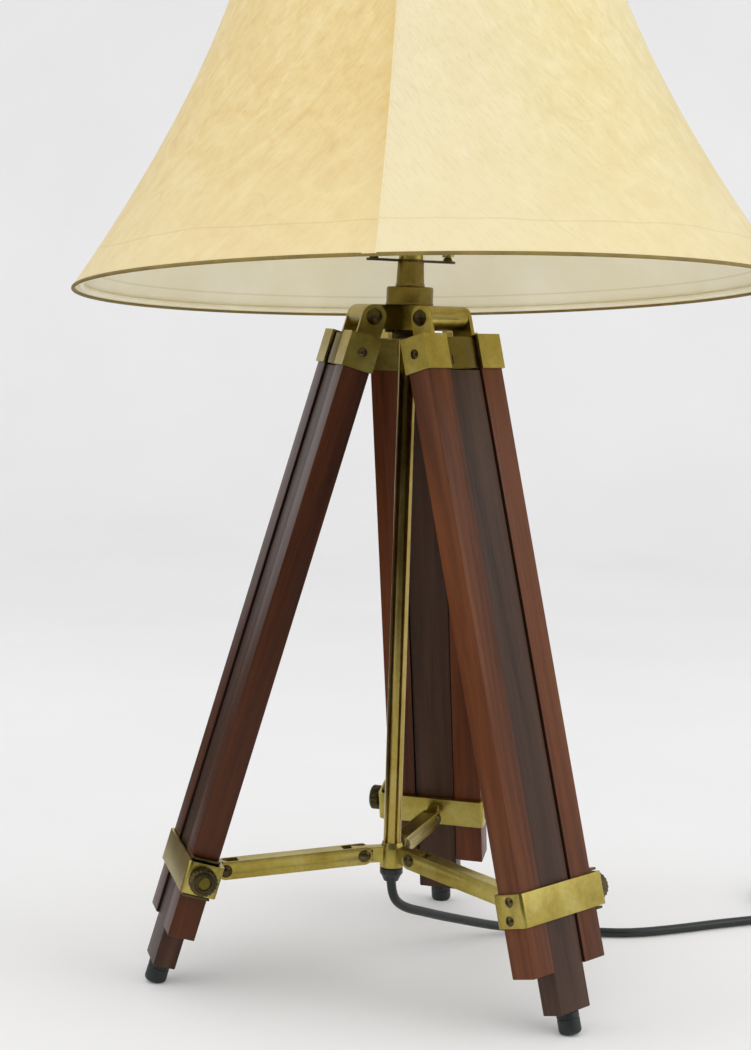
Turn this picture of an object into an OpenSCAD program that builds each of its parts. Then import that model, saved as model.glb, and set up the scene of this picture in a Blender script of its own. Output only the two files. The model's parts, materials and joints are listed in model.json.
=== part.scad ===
// Tripod table lamp: three folding wooden legs, brass fittings, leaning bell shade.
// Millimetres, +Z up, floor at z = 0, origin under the centre tube.

/* [Legs] */
// Direction of the first leg, seen from above
leg_azimuth = -44; // [-60:1:-20]
// Lean of a leg from the vertical
leg_lean = 16; // [13:0.5:19]
// Width of one side rail
rail_w = 20; // [16:1:26]
// Depth of one side rail, front to back
rail_d = 18; // [15:1:24]
// Space between the two side rails of a leg
rail_gap = 29.4; // [25:0.2:36]
// Length of a side rail
rail_len = 403; // [300:1:500]
// Depth of the sliding centre leg
centre_d = 15; // [11:0.5:17]
// How far the centre leg shows below the rails
centre_out = 27; // [15:1:60]
// Diameter of the rubber foot
foot_d = 14.4; // [10:0.2:15]
// Height of the rubber foot
foot_h = 14.2; // [10:0.2:20]

/* [Leg head] */
// Distance down the leg from the pivot screw to the top of the caps
pivot_drop = 13.6; // [11:0.2:20]
// Distance of the pivot screw behind the middle of the rails
pivot_inset = 4.8; // [0:0.2:6]
// Height of the folded caps
cap_h = 22.6; // [16:0.2:30]
// Wall of the folded caps
cap_wall = 1.4; // [1:0.1:2]
// Thickness of an ear
ear_t = 3; // [2:0.2:4]
// Head diameter of the domed pivot screws
pivot_head_d = 10.6; // [8:0.2:13]
// Diameter of the pivot screws
pivot_d = 6; // [4:0.2:8]
// Head diameter of the small screws
screw_head_d = 6.4; // [4:0.2:7]

/* [Band and clamp] */
// Height of the band
band_h = 21; // [16:0.5:28]
// Wall of the band
band_wall = 2; // [1.5:0.1:3]
// Wall of the back of the band, which carries the lug
band_back = 3; // [2:0.1:4]
// Distance from the lower end of the rails up to the band
band_up = 31.6; // [25:0.2:60]
// Room in the band beside the rail for the pressure plate
band_room = 6.2; // [5:0.2:9]
// Thickness of the pressure plate
plate_t = 2; // [1.5:0.1:3]
// How far the lips of the pressure plate stand above and below the band
plate_lip = 2.6; // [1.5:0.2:5]
// Diameter of the clamp knob
knob_d = 18; // [14:0.5:22]
// Thickness of the clamp knob
knob_h = 8.5; // [6:0.5:12]
// Diameter of the clamp screw
clamp_d = 5; // [4:0.2:6]

/* [Braces] */
// Width of the brace channel
brace_w = 11; // [10:0.2:14]
// Height of the brace channel
brace_h = 12; // [10.6:0.2:15]
// Wall of the brace channel
brace_wall = 1.5; // [1:0.1:2]
// Diameter of the brace pins
brace_pin_d = 3.2; // [2.4:0.2:4]
// Head diameter of the brace pins
brace_head_d = 8.7; // [6:0.1:10]
// Distance from the back of the band to the outer brace pin
brace_pin_out = 10.9; // [9:0.1:14]
// Distance from the lamp's axis to the inner brace pins
collar_pin_r = 20.5; // [19:0.5:24]
// Height of the inner brace pins above the floor
collar_pin_z = 79.5; // [70:0.5:90]

/* [Centre tube] */
// Diameter of the centre tube
tube_d = 12; // [10:0.2:13]
// Wall of the centre tube
tube_wall = 1.2; // [1:0.1:1.6]
// Diameter of the sliding collar
collar_d = 16; // [15:0.2:18]
// Height of the sliding collar
collar_h = 13.4; // [11:0.2:18]
// Diameter of the cord gland
gland_d = 15.6; // [14:0.2:18]
// Height of the cord gland below the tube
gland_h = 9.8; // [9:0.2:14]
// Length of the gland's spigot in the tube
gland_spigot = 12; // [8:0.5:20]

/* [Hub] */
// Distance from the lamp's axis to the leg pivots
pivot_r = 29; // [27:0.5:34]
// Width of a hub arm
arm_w = 34; // [30:0.5:36]
// Height of a hub arm, and width of the ears beside it
arm_h = 16; // [13:0.5:20]
// Diameter of the cup on the hub
cup_d = 30.6; // [26:0.2:36]
// Height of the cup
cup_h = 12; // [8:0.5:18]
// Diameter of the neck at its foot
neck_d = 19.2; // [16:0.2:24]
// Height of the neck
neck_h = 16; // [12:0.5:24]

/* [Socket and bulb] */
// Diameter of the socket shell
socket_d = 33; // [31:0.5:38]
// Height of the socket shell
socket_h = 44; // [38:1:52]
// Height of the socket cap
socket_cap_h = 24; // [18:1:30]
// Diameter of the bulb
bulb_d = 60; // [50:1:66]
// Height of the bulb above the socket
bulb_h = 84; // [74:1:96]
// Diameter of the bulb's screw base
base_d = 26; // [24:0.2:27]

/* [Harp] */
// Turn of the harp about the lamp's axis
harp_azimuth = 15; // [-30:1:60]
// Distance from the middle of the saddle to a prong
saddle_r = 25; // [22:0.5:30]
// Height of the harp above the saddle
harp_h = 220; // [205:1:240]
// Lean of the socket and the harp to the right
stack_lean = 0.6; // [0:0.2:2]
// Half the greatest width of the harp
harp_r = 52; // [46:1:60]
// Diameter of the harp wire
harp_wire_d = 3.6; // [3:0.2:4.4]
// Diameter of the threaded stud on the harp
stud_d = 6.2; // [5:0.2:7]

/* [Shade] */
// Lean of the shade on top of the harp
shade_lean = 4.8; // [0:0.2:6]
// Direction that the shade leans to
lean_azimuth = 119; // [0:1:360]
// Diameter of the shade at its lower rim
shade_bottom_d = 455; // [420:1:480]
// Diameter of the shade at its upper rim
shade_top_d = 216; // [190:1:240]
// Height of the shade
shade_h = 255; // [250:1:275]
// Flare of the bell: 1 is a straight cone
shade_flare = 1.5; // [1:0.05:1.8]
// Wall of the shade's cover
cover_t = 1.2; // [0.8:0.1:2]
// Wall of the shade's lining
lining_t = 0.8; // [0.6:0.1:1.5]
// Thickness of the rolled rims
rim_roll_d = 3.4; // [3:0.1:5]
// Diameter of the shade's frame wire
frame_wire_d = 3; // [2.4:0.2:4]
// Height of the shade's washer above its lower rim
shade_hang = 238; // [225:1:240]

/* [Cord] */
// Diameter of the cord
cord_d = 6.4; // [5:0.2:7]
// Turns of the coil in both of its layers together
coil_turns = 6; // [4:1:7]
// Radius of the coil's innermost turn
coil_inner_r = 25.8; // [25.6:0.2:28]
// Space between neighbouring turns of the coil
coil_gap = 0.7; // [0.6:0.1:1.2]
// Straight end of the cord from the coil to the plug
coil_tail = 31; // [28:1:40]
// Thickness of the plug
plug_t = 18; // [16:0.5:20]
// Thickness of the tie round the coil
tie_t = 0.8; // [0.6:0.1:1.2]

/* [Hidden] */
$fn = 64;
running = 0.05;
slide_gap = 0.3;
seat_gap = 0.2;
eps = 0.01;

brass = [0.62, 0.55, 0.27];
dark_brass = [0.36, 0.33, 0.2];
rail_wood = [0.42, 0.24, 0.16];
centre_wood = [0.3, 0.24, 0.21];
rubber = [0.12, 0.14, 0.14];
parchment = [0.88, 0.82, 0.6];
lining_cream = [0.86, 0.82, 0.72];

// Legs: the frame of a leg has its origin on the pivot screw, +X out through the front
// of the leg, +Y along the screw and +Z up the leg.
rail_in = rail_gap / 2;
rail_out = rail_in + rail_w;
rail_top = -(pivot_drop + cap_wall);
rail_end = rail_top - rail_len;
centre_end = rail_end - centre_out;
leg_reach = -centre_end + foot_h;
pivot_z = leg_reach * cos(leg_lean) - pivot_inset * sin(leg_lean);
cap_end = -pivot_drop - cap_h;
centre_top = cap_end - slide_gap;
centre_w = rail_gap - 2 * slide_gap;
ear_in = arm_w / 2 + slide_gap;
ear_out = ear_in + ear_t;
pivot_head_h = 4;
screw_d = 3;
foot_round = 3;

// Band, in the frame of the leg
band_top = rail_end + band_up + band_h;
band_mid = band_top - band_h / 2;
band_gap = 0.4;
band_front_x = pivot_inset + rail_d / 2 + band_gap + band_wall;
band_back_x = pivot_inset - rail_d / 2 - band_gap - band_back;
band_cw_y = -(rail_out + band_wall);
band_ccw_y = rail_out + band_room + band_wall;
band_corner = 3;
band_screw_up = band_h / 3.6;
lug_w = brace_w - 2 * brace_wall - 2 * slide_gap;
lug_r = 5.2;

// Braces: pins in the upright plane of a leg, as [distance from the axis, height]
pin_x = band_back_x - brace_pin_out;
pin_a = [
  pivot_r + pin_x * cos(leg_lean) - band_mid * sin(leg_lean),
  pivot_z + pin_x * sin(leg_lean) + band_mid * cos(leg_lean)
];
pin_c = [collar_pin_r, collar_pin_z];
brace_len = norm(pin_a - pin_c);
brace_rise = atan2(pin_c[1] - pin_a[1], pin_a[0] - pin_c[0]);
web_slot_a = 9;
web_slot_c = 14;
head_h = 2.2;

// Centre tube, collar and gland
tube_r = tube_d / 2;
collar_foot = collar_pin_z - 9;
gland_top = collar_foot - seat_gap;
gland_foot = gland_top - gland_h;
cord_exit_z = 68;
tube_foot = gland_top - 1.8;
collar_lug_end = collar_pin_r + 7.8;
collar_slot = [12.6, 7.4];
hub_foot = pivot_z - arm_h / 2;
hub_top = pivot_z + arm_h / 2;
cup_top = hub_top + cup_h;
saddle_z = cup_top + neck_h;
tube_top = cup_top + 3;
washer_h = 2;
nut_h = 4;

// Socket, bulb and harp, in the leaning frame that stands on the neck
saddle_t = 1.6;
prong_h = 12;
sleeve_h = 16;
cap_foot = saddle_t;
shell_foot = cap_foot + socket_cap_h;
shell_top = shell_foot + socket_h;
contact_foot = shell_foot + 10;
knob_up = shell_foot + 15;
bulb_foot = contact_foot + 4;

// Shade, in the frame that leans on top of the harp, its origin under the washer
seat = [harp_h * sin(stack_lean), 0, saddle_z + harp_h * cos(stack_lean)];
rim_z = -shade_hang;
shade_top_z = rim_z + shade_h;
washer_t = 1.6;
ring_edge = frame_wire_d / 2 + 0.8;

function shade_r(h) = shade_top_d / 2
  + (shade_bottom_d - shade_top_d) / 2 * pow(max(0, 1 - h / shade_h), shade_flare);
function shade_slope(h) = atan((shade_r(h - 1) - shade_r(h + 1)) / 2);
function ring_r(h) = shade_r(h) - cover_t - seat_gap - lining_t
  - (frame_wire_d / 2 + seat_gap) / cos(shade_slope(h));

// A tube swept along a list of points, its normals carried along the path
function unit(v) = v / norm(v);
function tangent(p, i) = unit(p[min(i + 1, len(p) - 1)] - p[max(i - 1, 0)]);
function across(v, t) = unit(v - (v * t) * t);
function normals(p, first) = [
  for (i = 0, n = across(first, tangent(p, 0)); i < len(p);
       i = i + 1, n = i < len(p) ? across(n, tangent(p, i)) : n) n
];
function tube_points(p, r, sides, first) =
  let (n = normals(p, first))
  [
    for (i = [0 : len(p) - 1])
      let (t = tangent(p, i), b = cross(t, n[i]))
      for (k = [0 : sides - 1]) p[i] + r * (cos(360 * k / sides) * n[i] + sin(360 * k / sides) * b)
  ];
function tube_faces(rings, sides) = concat(
  [for (i = [0 : rings - 2], k = [0 : sides - 1])
    [i * sides + k, (i + 1) * sides + k, (i + 1) * sides + (k + 1) % sides]],
  [for (i = [0 : rings - 2], k = [0 : sides - 1])
    [i * sides + k, (i + 1) * sides + (k + 1) % sides, i * sides + (k + 1) % sides]],
  [[for (k = [0 : sides - 1]) k]],
  [[for (k = [sides - 1 : -1 : 0]) (rings - 1) * sides + k]]
);
function path_len(p) = len(p) < 2 ? 0 : let (d = [for (i = [1 : len(p) - 1]) norm(p[i] - p[i - 1])])
  d * [for (x = d) 1];
function bezier(a, b, c, d, n) = [
  for (i = [1 : n]) let (t = i / n, s = 1 - t)
    s * s * s * a + 3 * s * s * t * b + 3 * s * t * t * c + t * t * t * d
];

// Cord: the free stretch, from the gland's mouth to the coil
lead_points = [
  [0, 0, cord_exit_z], [0, 0, 61.5], [1.5, 1.5, 51], [5, 5.5, 43.5], [12, 12, 37.5], [23, 22.5, 31.8],
  [35.5, 35, 25.4], [49.5, 48, 19], [64, 61, 12.6], [76, 70.5, 8], [89.5, 77.5, 5], [104, 81, 3.6],
  [120, 81.5, 3.2], [136, 80, 3.2], [152, 78.5, 3.2], [168, 79, 3.2], [184, 82.5, 3.2], [200, 88.5, 3.2],
  [214, 94.5, 3.2], [228, 101, 3.2], [242, 107.5, 3.2], [256, 113.5, 3.2], [270, 119, 3.2],
  [284, 123, 3.2], [298, 125.4, 3.4], [312, 126, 3.8], [324, 126, 4.2], [332, 126, 4.2]
];
lead_end = lead_points[len(lead_points) - 1];
coil_rings = 24;
coil_pitch = cord_d + coil_gap;
coil_outer_r = coil_inner_r + coil_pitch * coil_turns / 2;
coil_centre = [lead_end[0] + cord_d, lead_end[1] + coil_outer_r];
climb = 0.5;
layer_z = [lead_end[2], lead_end[2] + cord_d + coil_gap];
function ease(x) = let (c = min(1, max(0, x))) c * c * (3 - 2 * c);
function coil_r(t) = coil_inner_r + coil_pitch * abs(t - coil_turns / 2);
function coil_z(t) = layer_z[0] + (layer_z[1] - layer_z[0]) * ease((t - coil_turns / 2) / climb + 0.5);
function coil_point(t) = [
  coil_centre[0] + coil_r(t) * sin(360 * t),
  coil_centre[1] - coil_r(t) * cos(360 * t),
  coil_z(t)
];
tail_start = coil_point(coil_turns);
plug_at = [tail_start[0] + coil_tail, tail_start[1], plug_t / 2];
coil_points = concat(
  [lead_end],
  [for (i = [0 : coil_turns * coil_rings]) coil_point(i / coil_rings)],
  [
    tail_start + [cord_d, 0, 0],
    [plug_at[0] - cord_d, plug_at[1], plug_at[2]],
    plug_at
  ]
);

plug_relief = 20;
plug_body_l = 26;
plug_w = 26;

// Least gap of the coil to itself, on points at least half a turn apart
coil_least = min([
  for (i = [0 : len(coil_points) - 1 - coil_rings / 2], j = [i + coil_rings / 2 : len(coil_points) - 1])
    norm(coil_points[i] - coil_points[j])
]) - cord_d;
cord_len = path_len(lead_points) + path_len(coil_points);
echo(coil_least_gap = coil_least, cord_length = cord_len, coil_across = coil_inner_r + coil_outer_r);

module leg_frame(k) {
  rotate([0, 0, leg_azimuth + 120 * (k - 1)])
    translate([pivot_r, 0, pivot_z])
      rotate([0, -leg_lean, 0])
        children();
}

module upper_frame() {
  translate([0, 0, saddle_z])
    rotate([0, stack_lean, 0])
      children();
}

module shade_place() {
  translate(seat)
    rotate([0, 0, lean_azimuth])
      rotate([0, shade_lean, 0])
        rotate([0, 0, -lean_azimuth])
          children();
}

// A box from its low corner to its high corner
module block(low, high) {
  translate(low)
    cube(high - low);
}

// A rod along Y, centred
module rod_y(d, length) {
  rotate([90, 0, 0])
    cylinder(d = d, h = length, center = true);
}

// A shallow dome head, standing on z = 0
module dome_head(d, h) {
  ball_r = (d * d / 4 + h * h) / (2 * h);
  intersection() {
    translate([0, 0, h - ball_r])
      sphere(r = ball_r);
    cylinder(d = d, h = h);
  }
}

// A pin along Y with a dome head at each end of a grip of this length
module double_pin(d, grip, head_d, h) {
  rod_y(d, grip + 2 * eps);
  for (side = [-1, 1])
    rotate([-90 * side, 0, 0])
      translate([0, 0, grip / 2])
        dome_head(head_d, h);
}

// A rounded rectangle, in the XY plane
module round_rect(low, high, r) {
  translate([low[0] + r, low[1]])
    square([high[0] - low[0] - 2 * r, high[1] - low[1]]);
  translate([low[0], low[1] + r])
    square([high[0] - low[0], high[1] - low[1] - 2 * r]);
  for (x = [low[0] + r, high[0] - r], y = [low[1] + r, high[1] - r])
    translate([x, y])
      circle(r = r, $fn = 32);
}

// Hub with its three arms, bored for the tube and for the leg pivots
module hub() {
  color(brass)
    difference() {
      union() {
        translate([0, 0, hub_foot])
          cylinder(d = 2 * pivot_r - arm_h - 4, h = arm_h);
        for (k = [1 : 3])
          rotate([0, 0, leg_azimuth + 120 * (k - 1)]) {
            block([0, -arm_w / 2, hub_foot], [pivot_r, arm_w / 2, hub_top]);
            translate([pivot_r, 0, pivot_z])
              rod_y(arm_h, arm_w);
          }
      }
      translate([0, 0, hub_foot - 1])
        cylinder(d = tube_d, h = arm_h + 2);
      for (k = [1 : 3])
        rotate([0, 0, leg_azimuth + 120 * (k - 1)])
          translate([pivot_r, 0, pivot_z])
            rod_y(pivot_d + 2 * running, arm_w + 2);
    }
}

// Toothed lock washer under the hub
module hub_washer() {
  tooth_count = 24;
  washer_r = 14.6;
  color(dark_brass)
    translate([0, 0, hub_foot - washer_h])
      linear_extrude(washer_h)
        difference() {
          union() {
            circle(r = washer_r);
            for (i = [0 : tooth_count - 1])
              rotate(360 * i / tooth_count)
                translate([washer_r - 0.4, -0.8])
                  square([1.4, 1.6]);
          }
          circle(d = tube_d);
        }
}

// Hexagon nut that draws the hub onto the tube
module hub_nut() {
  color(dark_brass)
    translate([0, 0, hub_foot - washer_h - nut_h])
      difference() {
        cylinder(d = 22, h = nut_h, $fn = 6);
        translate([0, 0, -1])
          cylinder(d = tube_d, h = nut_h + 2);
      }
}

// Brass tube down the middle, from the neck to the gland
module centre_tube() {
  color(brass)
    translate([0, 0, tube_foot])
      difference() {
        cylinder(d = tube_d, h = tube_top - tube_foot);
        translate([0, 0, -1])
          cylinder(d = tube_d - 2 * tube_wall, h = tube_top - tube_foot + 2);
      }
}

// Black gland at the foot of the tube, tapered to the cord
module cord_gland() {
  r = gland_d / 2;
  mouth_r = cord_d / 2 + 0.15;
  lip_r = mouth_r + 1.6;
  spigot_r = tube_r - tube_wall;
  color(rubber)
    rotate_extrude()
      polygon([
        [mouth_r + 0.9, gland_foot], [lip_r, gland_foot], [r - 1.4, gland_foot + 3.4],
        [r, gland_foot + 5.4], [r, gland_top - 0.8], [r - 0.8, gland_top], [tube_r, gland_top],
        [tube_r, tube_foot], [spigot_r, tube_foot], [spigot_r, tube_foot + gland_spigot - 0.6],
        [spigot_r - 0.6, tube_foot + gland_spigot], [0, tube_foot + gland_spigot],
        [0, cord_exit_z], [mouth_r, cord_exit_z], [mouth_r, gland_foot + 2]
      ]);
}

// Turned cup on the hub
module cup() {
  color(brass)
    translate([0, 0, hub_top])
      rotate_extrude()
        polygon([
          [tube_r, 0], [cup_d / 2 + 0.5, 0], [cup_d / 2, cup_h - 0.6],
          [cup_d / 2 - 0.6, cup_h], [tube_r, cup_h]
        ]);
}

// Neck on the cup: its head is cut to the lean of the stack above
module neck() {
  color(brass)
    difference() {
      translate([0, 0, cup_top])
        rotate_extrude()
          polygon([
            [0, 3], [tube_r, 3], [tube_r, 0], [neck_d / 2, 0], [neck_d / 2, 1.4], [neck_d / 2 - 0.4, 2],
            [neck_d / 2 - 1.2, neck_h + 3], [0, neck_h + 3]
          ]);
      upper_frame() {
        translate([0, 0, 10])
          cube([60, 60, 20], center = true);
        translate([0, 0, -neck_h])
          cylinder(d = 10, h = neck_h + 1);
      }
      translate([0, 0, cup_top - 1])
        cylinder(d = 9, h = neck_h);
    }
}

// Threaded nipple that holds the saddle and the socket on the neck
module nipple() {
  color(brass)
    upper_frame()
      translate([0, 0, -neck_h + 4.6])
        difference() {
          cylinder(d = 10, h = neck_h + 5);
          translate([0, 0, -1])
            cylinder(d = 7.4, h = neck_h + 7);
        }
}

// Collar that slides on the tube, with a lug for each brace
module collar() {
  color(brass)
    difference() {
      union() {
        translate([0, 0, collar_foot])
          cylinder(d = collar_d, h = collar_h);
        translate([0, 0, collar_foot + collar_h])
          cylinder(r1 = collar_d / 2 - 0.4, r2 = tube_r + 0.6, h = 3.4);
        for (k = [1 : 3])
          rotate([0, 0, leg_azimuth + 120 * (k - 1)])
            block([0, -lug_w / 2, collar_pin_z - lug_r], [collar_lug_end, lug_w / 2, collar_pin_z + lug_r]);
      }
      translate([0, 0, collar_foot - 1])
        cylinder(r = tube_r + 2 * running, h = collar_h + 6);
      for (k = [1 : 3])
        rotate([0, 0, leg_azimuth + 120 * (k - 1)])
          translate([collar_pin_r, 0, collar_pin_z])
            cube([collar_slot[0], lug_w + 2, collar_slot[1]], center = true);
    }
}

// The two side rails of a leg
module leg_rails(k) {
  color(rail_wood)
    leg_frame(k)
      for (side = [-1, 1])
        translate([pivot_inset - rail_d / 2, side > 0 ? rail_in : -rail_out, rail_end])
          cube([rail_d, rail_w, rail_len]);
}

// One folded cap, over the rail on the +Y side, with its ear
module leg_cap() {
  x0 = pivot_inset - rail_d / 2;
  x1 = pivot_inset + rail_d / 2;
  difference() {
    union() {
      block([x0 - cap_wall, rail_in, cap_end], [x1 + cap_wall, rail_out + cap_wall, -pivot_drop]);
      block([-arm_h / 2, ear_in, -pivot_drop - eps], [arm_h / 2, ear_out, 0]);
      translate([0, (ear_in + ear_out) / 2, 0])
        rod_y(arm_h, ear_t);
    }
    block([x0, rail_in - 1, cap_end - 1], [x1, rail_out, rail_top]);
    rod_y(pivot_d + 2 * running, 2 * ear_out + 2);
    translate([pivot_inset, rail_out, (cap_end - pivot_drop) / 2])
      rod_y(screw_d + 2 * running, 2 * cap_wall + 2);
  }
}

// Head of a leg: two folded caps and the bowed spacer between the rails
module leg_head(k) {
  spacer_r = rail_gap * 0.8;
  bow_x = pivot_inset + rail_d / 2 - 0.8 - spacer_r;
  color(brass)
    leg_frame(k) {
      leg_cap();
      mirror([0, 1, 0])
        leg_cap();
      intersection() {
        translate([bow_x, 0, cap_end])
          cylinder(r = spacer_r, h = cap_h - cap_wall - seat_gap, $fn = 128);
        block([pivot_inset - rail_d / 2, -rail_in, cap_end - 1], [pivot_inset + rail_d / 2, rail_in, 0]);
      }
    }
}

// Band round a leg: a folded strip, with the lug of the brace on its back
module leg_band(k) {
  color(brass)
    leg_frame(k)
      difference() {
        union() {
          translate([0, 0, band_top - band_h])
            linear_extrude(band_h)
              round_rect([band_back_x, band_cw_y], [band_front_x, band_ccw_y], band_corner);
          block([pin_x, -lug_w / 2, band_mid - lug_r], [band_back_x + 1, lug_w / 2, band_mid + lug_r]);
          translate([pin_x, 0, band_mid])
            rod_y(2 * lug_r, lug_w);
        }
        block(
          [band_back_x + band_back, -rail_out, band_top - band_h - 1],
          [band_front_x - band_wall, band_ccw_y - band_wall, band_top + 1]
        );
        translate([pin_x, 0, band_mid])
          rod_y(brace_pin_d + 2 * running, lug_w + 2);
        translate([pivot_inset, band_ccw_y, band_mid])
          rod_y(clamp_d + 2 * running, 2 * band_wall + 2);
        for (z = [-1, 1])
          translate([pivot_inset + z, -rail_out, band_mid + z * band_screw_up])
            rod_y(screw_d + 2 * running, 2 * band_wall + 2);
      }
}

// Pressure plate between the band and the rail, with a lip above and below
module leg_plate(k) {
  lip_t = 1.6;
  lip_reach = band_room - 0.4;
  plate_h = band_h + 2 * plate_lip;
  x0 = pivot_inset - rail_d / 2;
  x1 = pivot_inset + rail_d / 2;
  color(dark_brass)
    leg_frame(k) {
      block([x0, rail_out, band_mid - plate_h / 2], [x1, rail_out + plate_t, band_mid + plate_h / 2]);
      for (z = [band_mid + plate_h / 2 - lip_t, band_mid - plate_h / 2])
        block([x0, rail_out, z], [x1, rail_out + lip_reach, z + lip_t]);
    }
}

// Screws of a leg: the pivot screw, the cap screws and the band screws
module leg_screws(k) {
  color(dark_brass)
    leg_frame(k) {
      double_pin(pivot_d, 2 * ear_out, pivot_head_d, pivot_head_h);
      for (side = [-1, 1])
        translate([pivot_inset, side * (rail_out + cap_wall), (cap_end - pivot_drop) / 2])
          rotate([-90 * side, 0, 0])
            small_screw(cap_wall);
      for (z = [-1, 1])
        translate([pivot_inset + z, -(rail_out + band_wall), band_mid + z * band_screw_up])
          rotate([90, 0, 0])
            small_screw(band_wall);
    }
}

// A small dome-headed screw, its head on z = 0 and its shank in a wall below
module small_screw(wall) {
  dome_head(screw_head_d, 1.6);
  translate([0, 0, -wall])
    cylinder(d = screw_d, h = wall + eps);
}

// Centre leg that slides between the rails
module leg_centre(k) {
  color(centre_wood)
    leg_frame(k)
      block(
        [pivot_inset - centre_d / 2, -centre_w / 2, centre_end],
        [pivot_inset + centre_d / 2, centre_w / 2, centre_top]
      );
}

// Rubber foot, worn flat where it stands
module leg_foot(k) {
  r = foot_d / 2;
  color(rubber)
    difference() {
      leg_frame(k)
        translate([pivot_inset, 0, -leg_reach])
          rotate_extrude() {
            translate([0, foot_round])
              square([r, foot_h - foot_round]);
            square([r - foot_round, foot_round + eps]);
            intersection() {
              translate([r - foot_round, foot_round])
                circle(r = foot_round, $fn = 32);
              square([r, foot_round + eps]);
            }
          }
      translate([0, 0, -20])
        cube([900, 900, 40], center = true);
    }
}

// Clamp knob with its screw, fluted round the edge
module leg_knob(k) {
  flutes = 20;
  screw_tip = rail_out + plate_t + 0.1;
  color(dark_brass)
    leg_frame(k)
      translate([pivot_inset, 0, band_mid])
        rotate([-90, 0, 0]) {
          translate([0, 0, screw_tip])
            cylinder(d = clamp_d, h = band_ccw_y - screw_tip + 2);
          translate([0, 0, band_ccw_y + seat_gap])
            difference() {
              union() {
                cylinder(d = knob_d * 0.66, h = 1.2);
                translate([0, 0, 1.2])
                  cylinder(d = knob_d, h = knob_h - 2.4);
                translate([0, 0, knob_h - 1.2])
                  cylinder(r1 = knob_d / 2, r2 = knob_d / 2 - 1.2, h = 1.2);
              }
              for (i = [0 : flutes - 1])
                rotate(360 * i / flutes)
                  translate([knob_d / 2 + 0.5, 0, 0.6])
                    cylinder(r = 1, h = knob_h, $fn = 16);
              translate([0, 0, knob_h - 0.8])
                cylinder(d = knob_d * 0.5, h = 1);
            }
        }
}

module brace_frame(k) {
  rotate([0, 0, leg_azimuth + 120 * (k - 1)])
    translate([pin_a[0], 0, pin_a[1]])
      rotate([0, brace_rise, 0])
        children();
}

// Channel brace from the band to the collar, its web cut away over the lugs
module brace(k) {
  color(brass)
    brace_frame(k)
      difference() {
        union() {
          block([-brace_len, -brace_w / 2, -brace_h / 2], [0, brace_w / 2, brace_h / 2]);
          for (x = [0, -brace_len])
            translate([x, 0, 0])
              rod_y(brace_h, brace_w);
        }
        block(
          [-brace_len - brace_h, -brace_w / 2 + brace_wall, -brace_h / 2 - 1],
          [brace_h, brace_w / 2 - brace_wall, brace_h / 2 - brace_wall]
        );
        block(
          [-brace_len - brace_h, -brace_w / 2 + brace_wall, 0],
          [-brace_len + web_slot_c, brace_w / 2 - brace_wall, brace_h]
        );
        block([-web_slot_a, -brace_w / 2 + brace_wall, 0], [brace_h, brace_w / 2 - brace_wall, brace_h]);
        for (x = [0, -brace_len])
          translate([x, 0, 0])
            rod_y(brace_pin_d + 2 * running, brace_w + 2);
      }
}

// The two pins of a brace
module brace_pins(k) {
  color(dark_brass)
    brace_frame(k)
      for (x = [0, -brace_len])
        translate([x, 0, 0])
          double_pin(brace_pin_d, brace_w, brace_head_d, head_h);
}

// Saddle under the socket, bent up into two prongs that carry the harp
module harp_saddle() {
  strip_w = 10;
  color(dark_brass)
    upper_frame()
      rotate([0, 0, harp_azimuth])
        difference() {
          union() {
            cylinder(d = 18, h = saddle_t);
            block([-saddle_r, -strip_w / 2, 0], [saddle_r, strip_w / 2, saddle_t]);
            for (side = [-1, 1])
              translate([side * saddle_r, 0, 0]) {
                cylinder(d = strip_w, h = saddle_t);
                cylinder(d = harp_wire_d, h = prong_h);
                cylinder(d1 = 8, d2 = harp_wire_d + 1, h = 4);
              }
          }
          translate([0, 0, -1])
            cylinder(d = 10, h = saddle_t + 2);
        }
}

// Harp: one bent wire with a plate and a threaded stud on top
module harp() {
  wire_r = harp_wire_d / 2;
  shoulder = 42;
  waist = harp_h * 0.6;
  top = harp_h - 3;
  half = concat(
    [[saddle_r, 0, prong_h + 0.1], [saddle_r, 0, shoulder]],
    bezier(
      [saddle_r, 0, shoulder], [saddle_r, 0, shoulder + 34], [harp_r, 0, waist - 44], [harp_r, 0, waist], 10
    ),
    bezier([harp_r, 0, waist], [harp_r, 0, waist + 52], [harp_r * 0.62, 0, top], [8, 0, top], 12)
  );
  back = [for (i = [len(half) - 1 : -1 : 0]) [-half[i][0], half[i][1], half[i][2]]];
  route = concat(half, back);
  color(brass) {
    upper_frame()
      rotate([0, 0, harp_azimuth])
        polyhedron(tube_points(route, wire_r, 10, [0, 1, 0]), tube_faces(len(route), 10));
    shade_place() {
      translate([0, 0, -5])
        cylinder(d = 13, h = 5);
      translate([0, 0, -1])
        cylinder(d = stud_d, h = 16);
    }
  }
}

// Sleeves that lock the two ends of the harp on their prongs
module harp_sleeves() {
  color(brass)
    upper_frame()
      for (side = [-1, 1])
        rotate([0, 0, harp_azimuth])
          translate([side * saddle_r, 0, 4.2])
            difference() {
              union() {
                cylinder(d = harp_wire_d + 3.4, h = sleeve_h);
                cylinder(d = harp_wire_d + 4.6, h = 3);
              }
              translate([0, 0, -1])
                cylinder(d = harp_wire_d + 0.5, h = sleeve_h + 2);
            }
}

// Cap of the socket, screwed on the nipple
module socket_cap() {
  r = socket_d / 2;
  top = shell_foot + 4;
  color(brass)
    upper_frame()
      rotate_extrude()
        polygon([
          [5, cap_foot], [8, cap_foot], [8, cap_foot + 5], [r - 5, cap_foot + 10],
          [r - 1.4, cap_foot + 16], [r, shell_foot], [r, top], [r - 0.8, top],
          [r - 0.8, shell_foot], [r - 2.4, cap_foot + 16.6], [r - 6, cap_foot + 11.4], [5, cap_foot + 6.4]
        ]);
}

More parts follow.
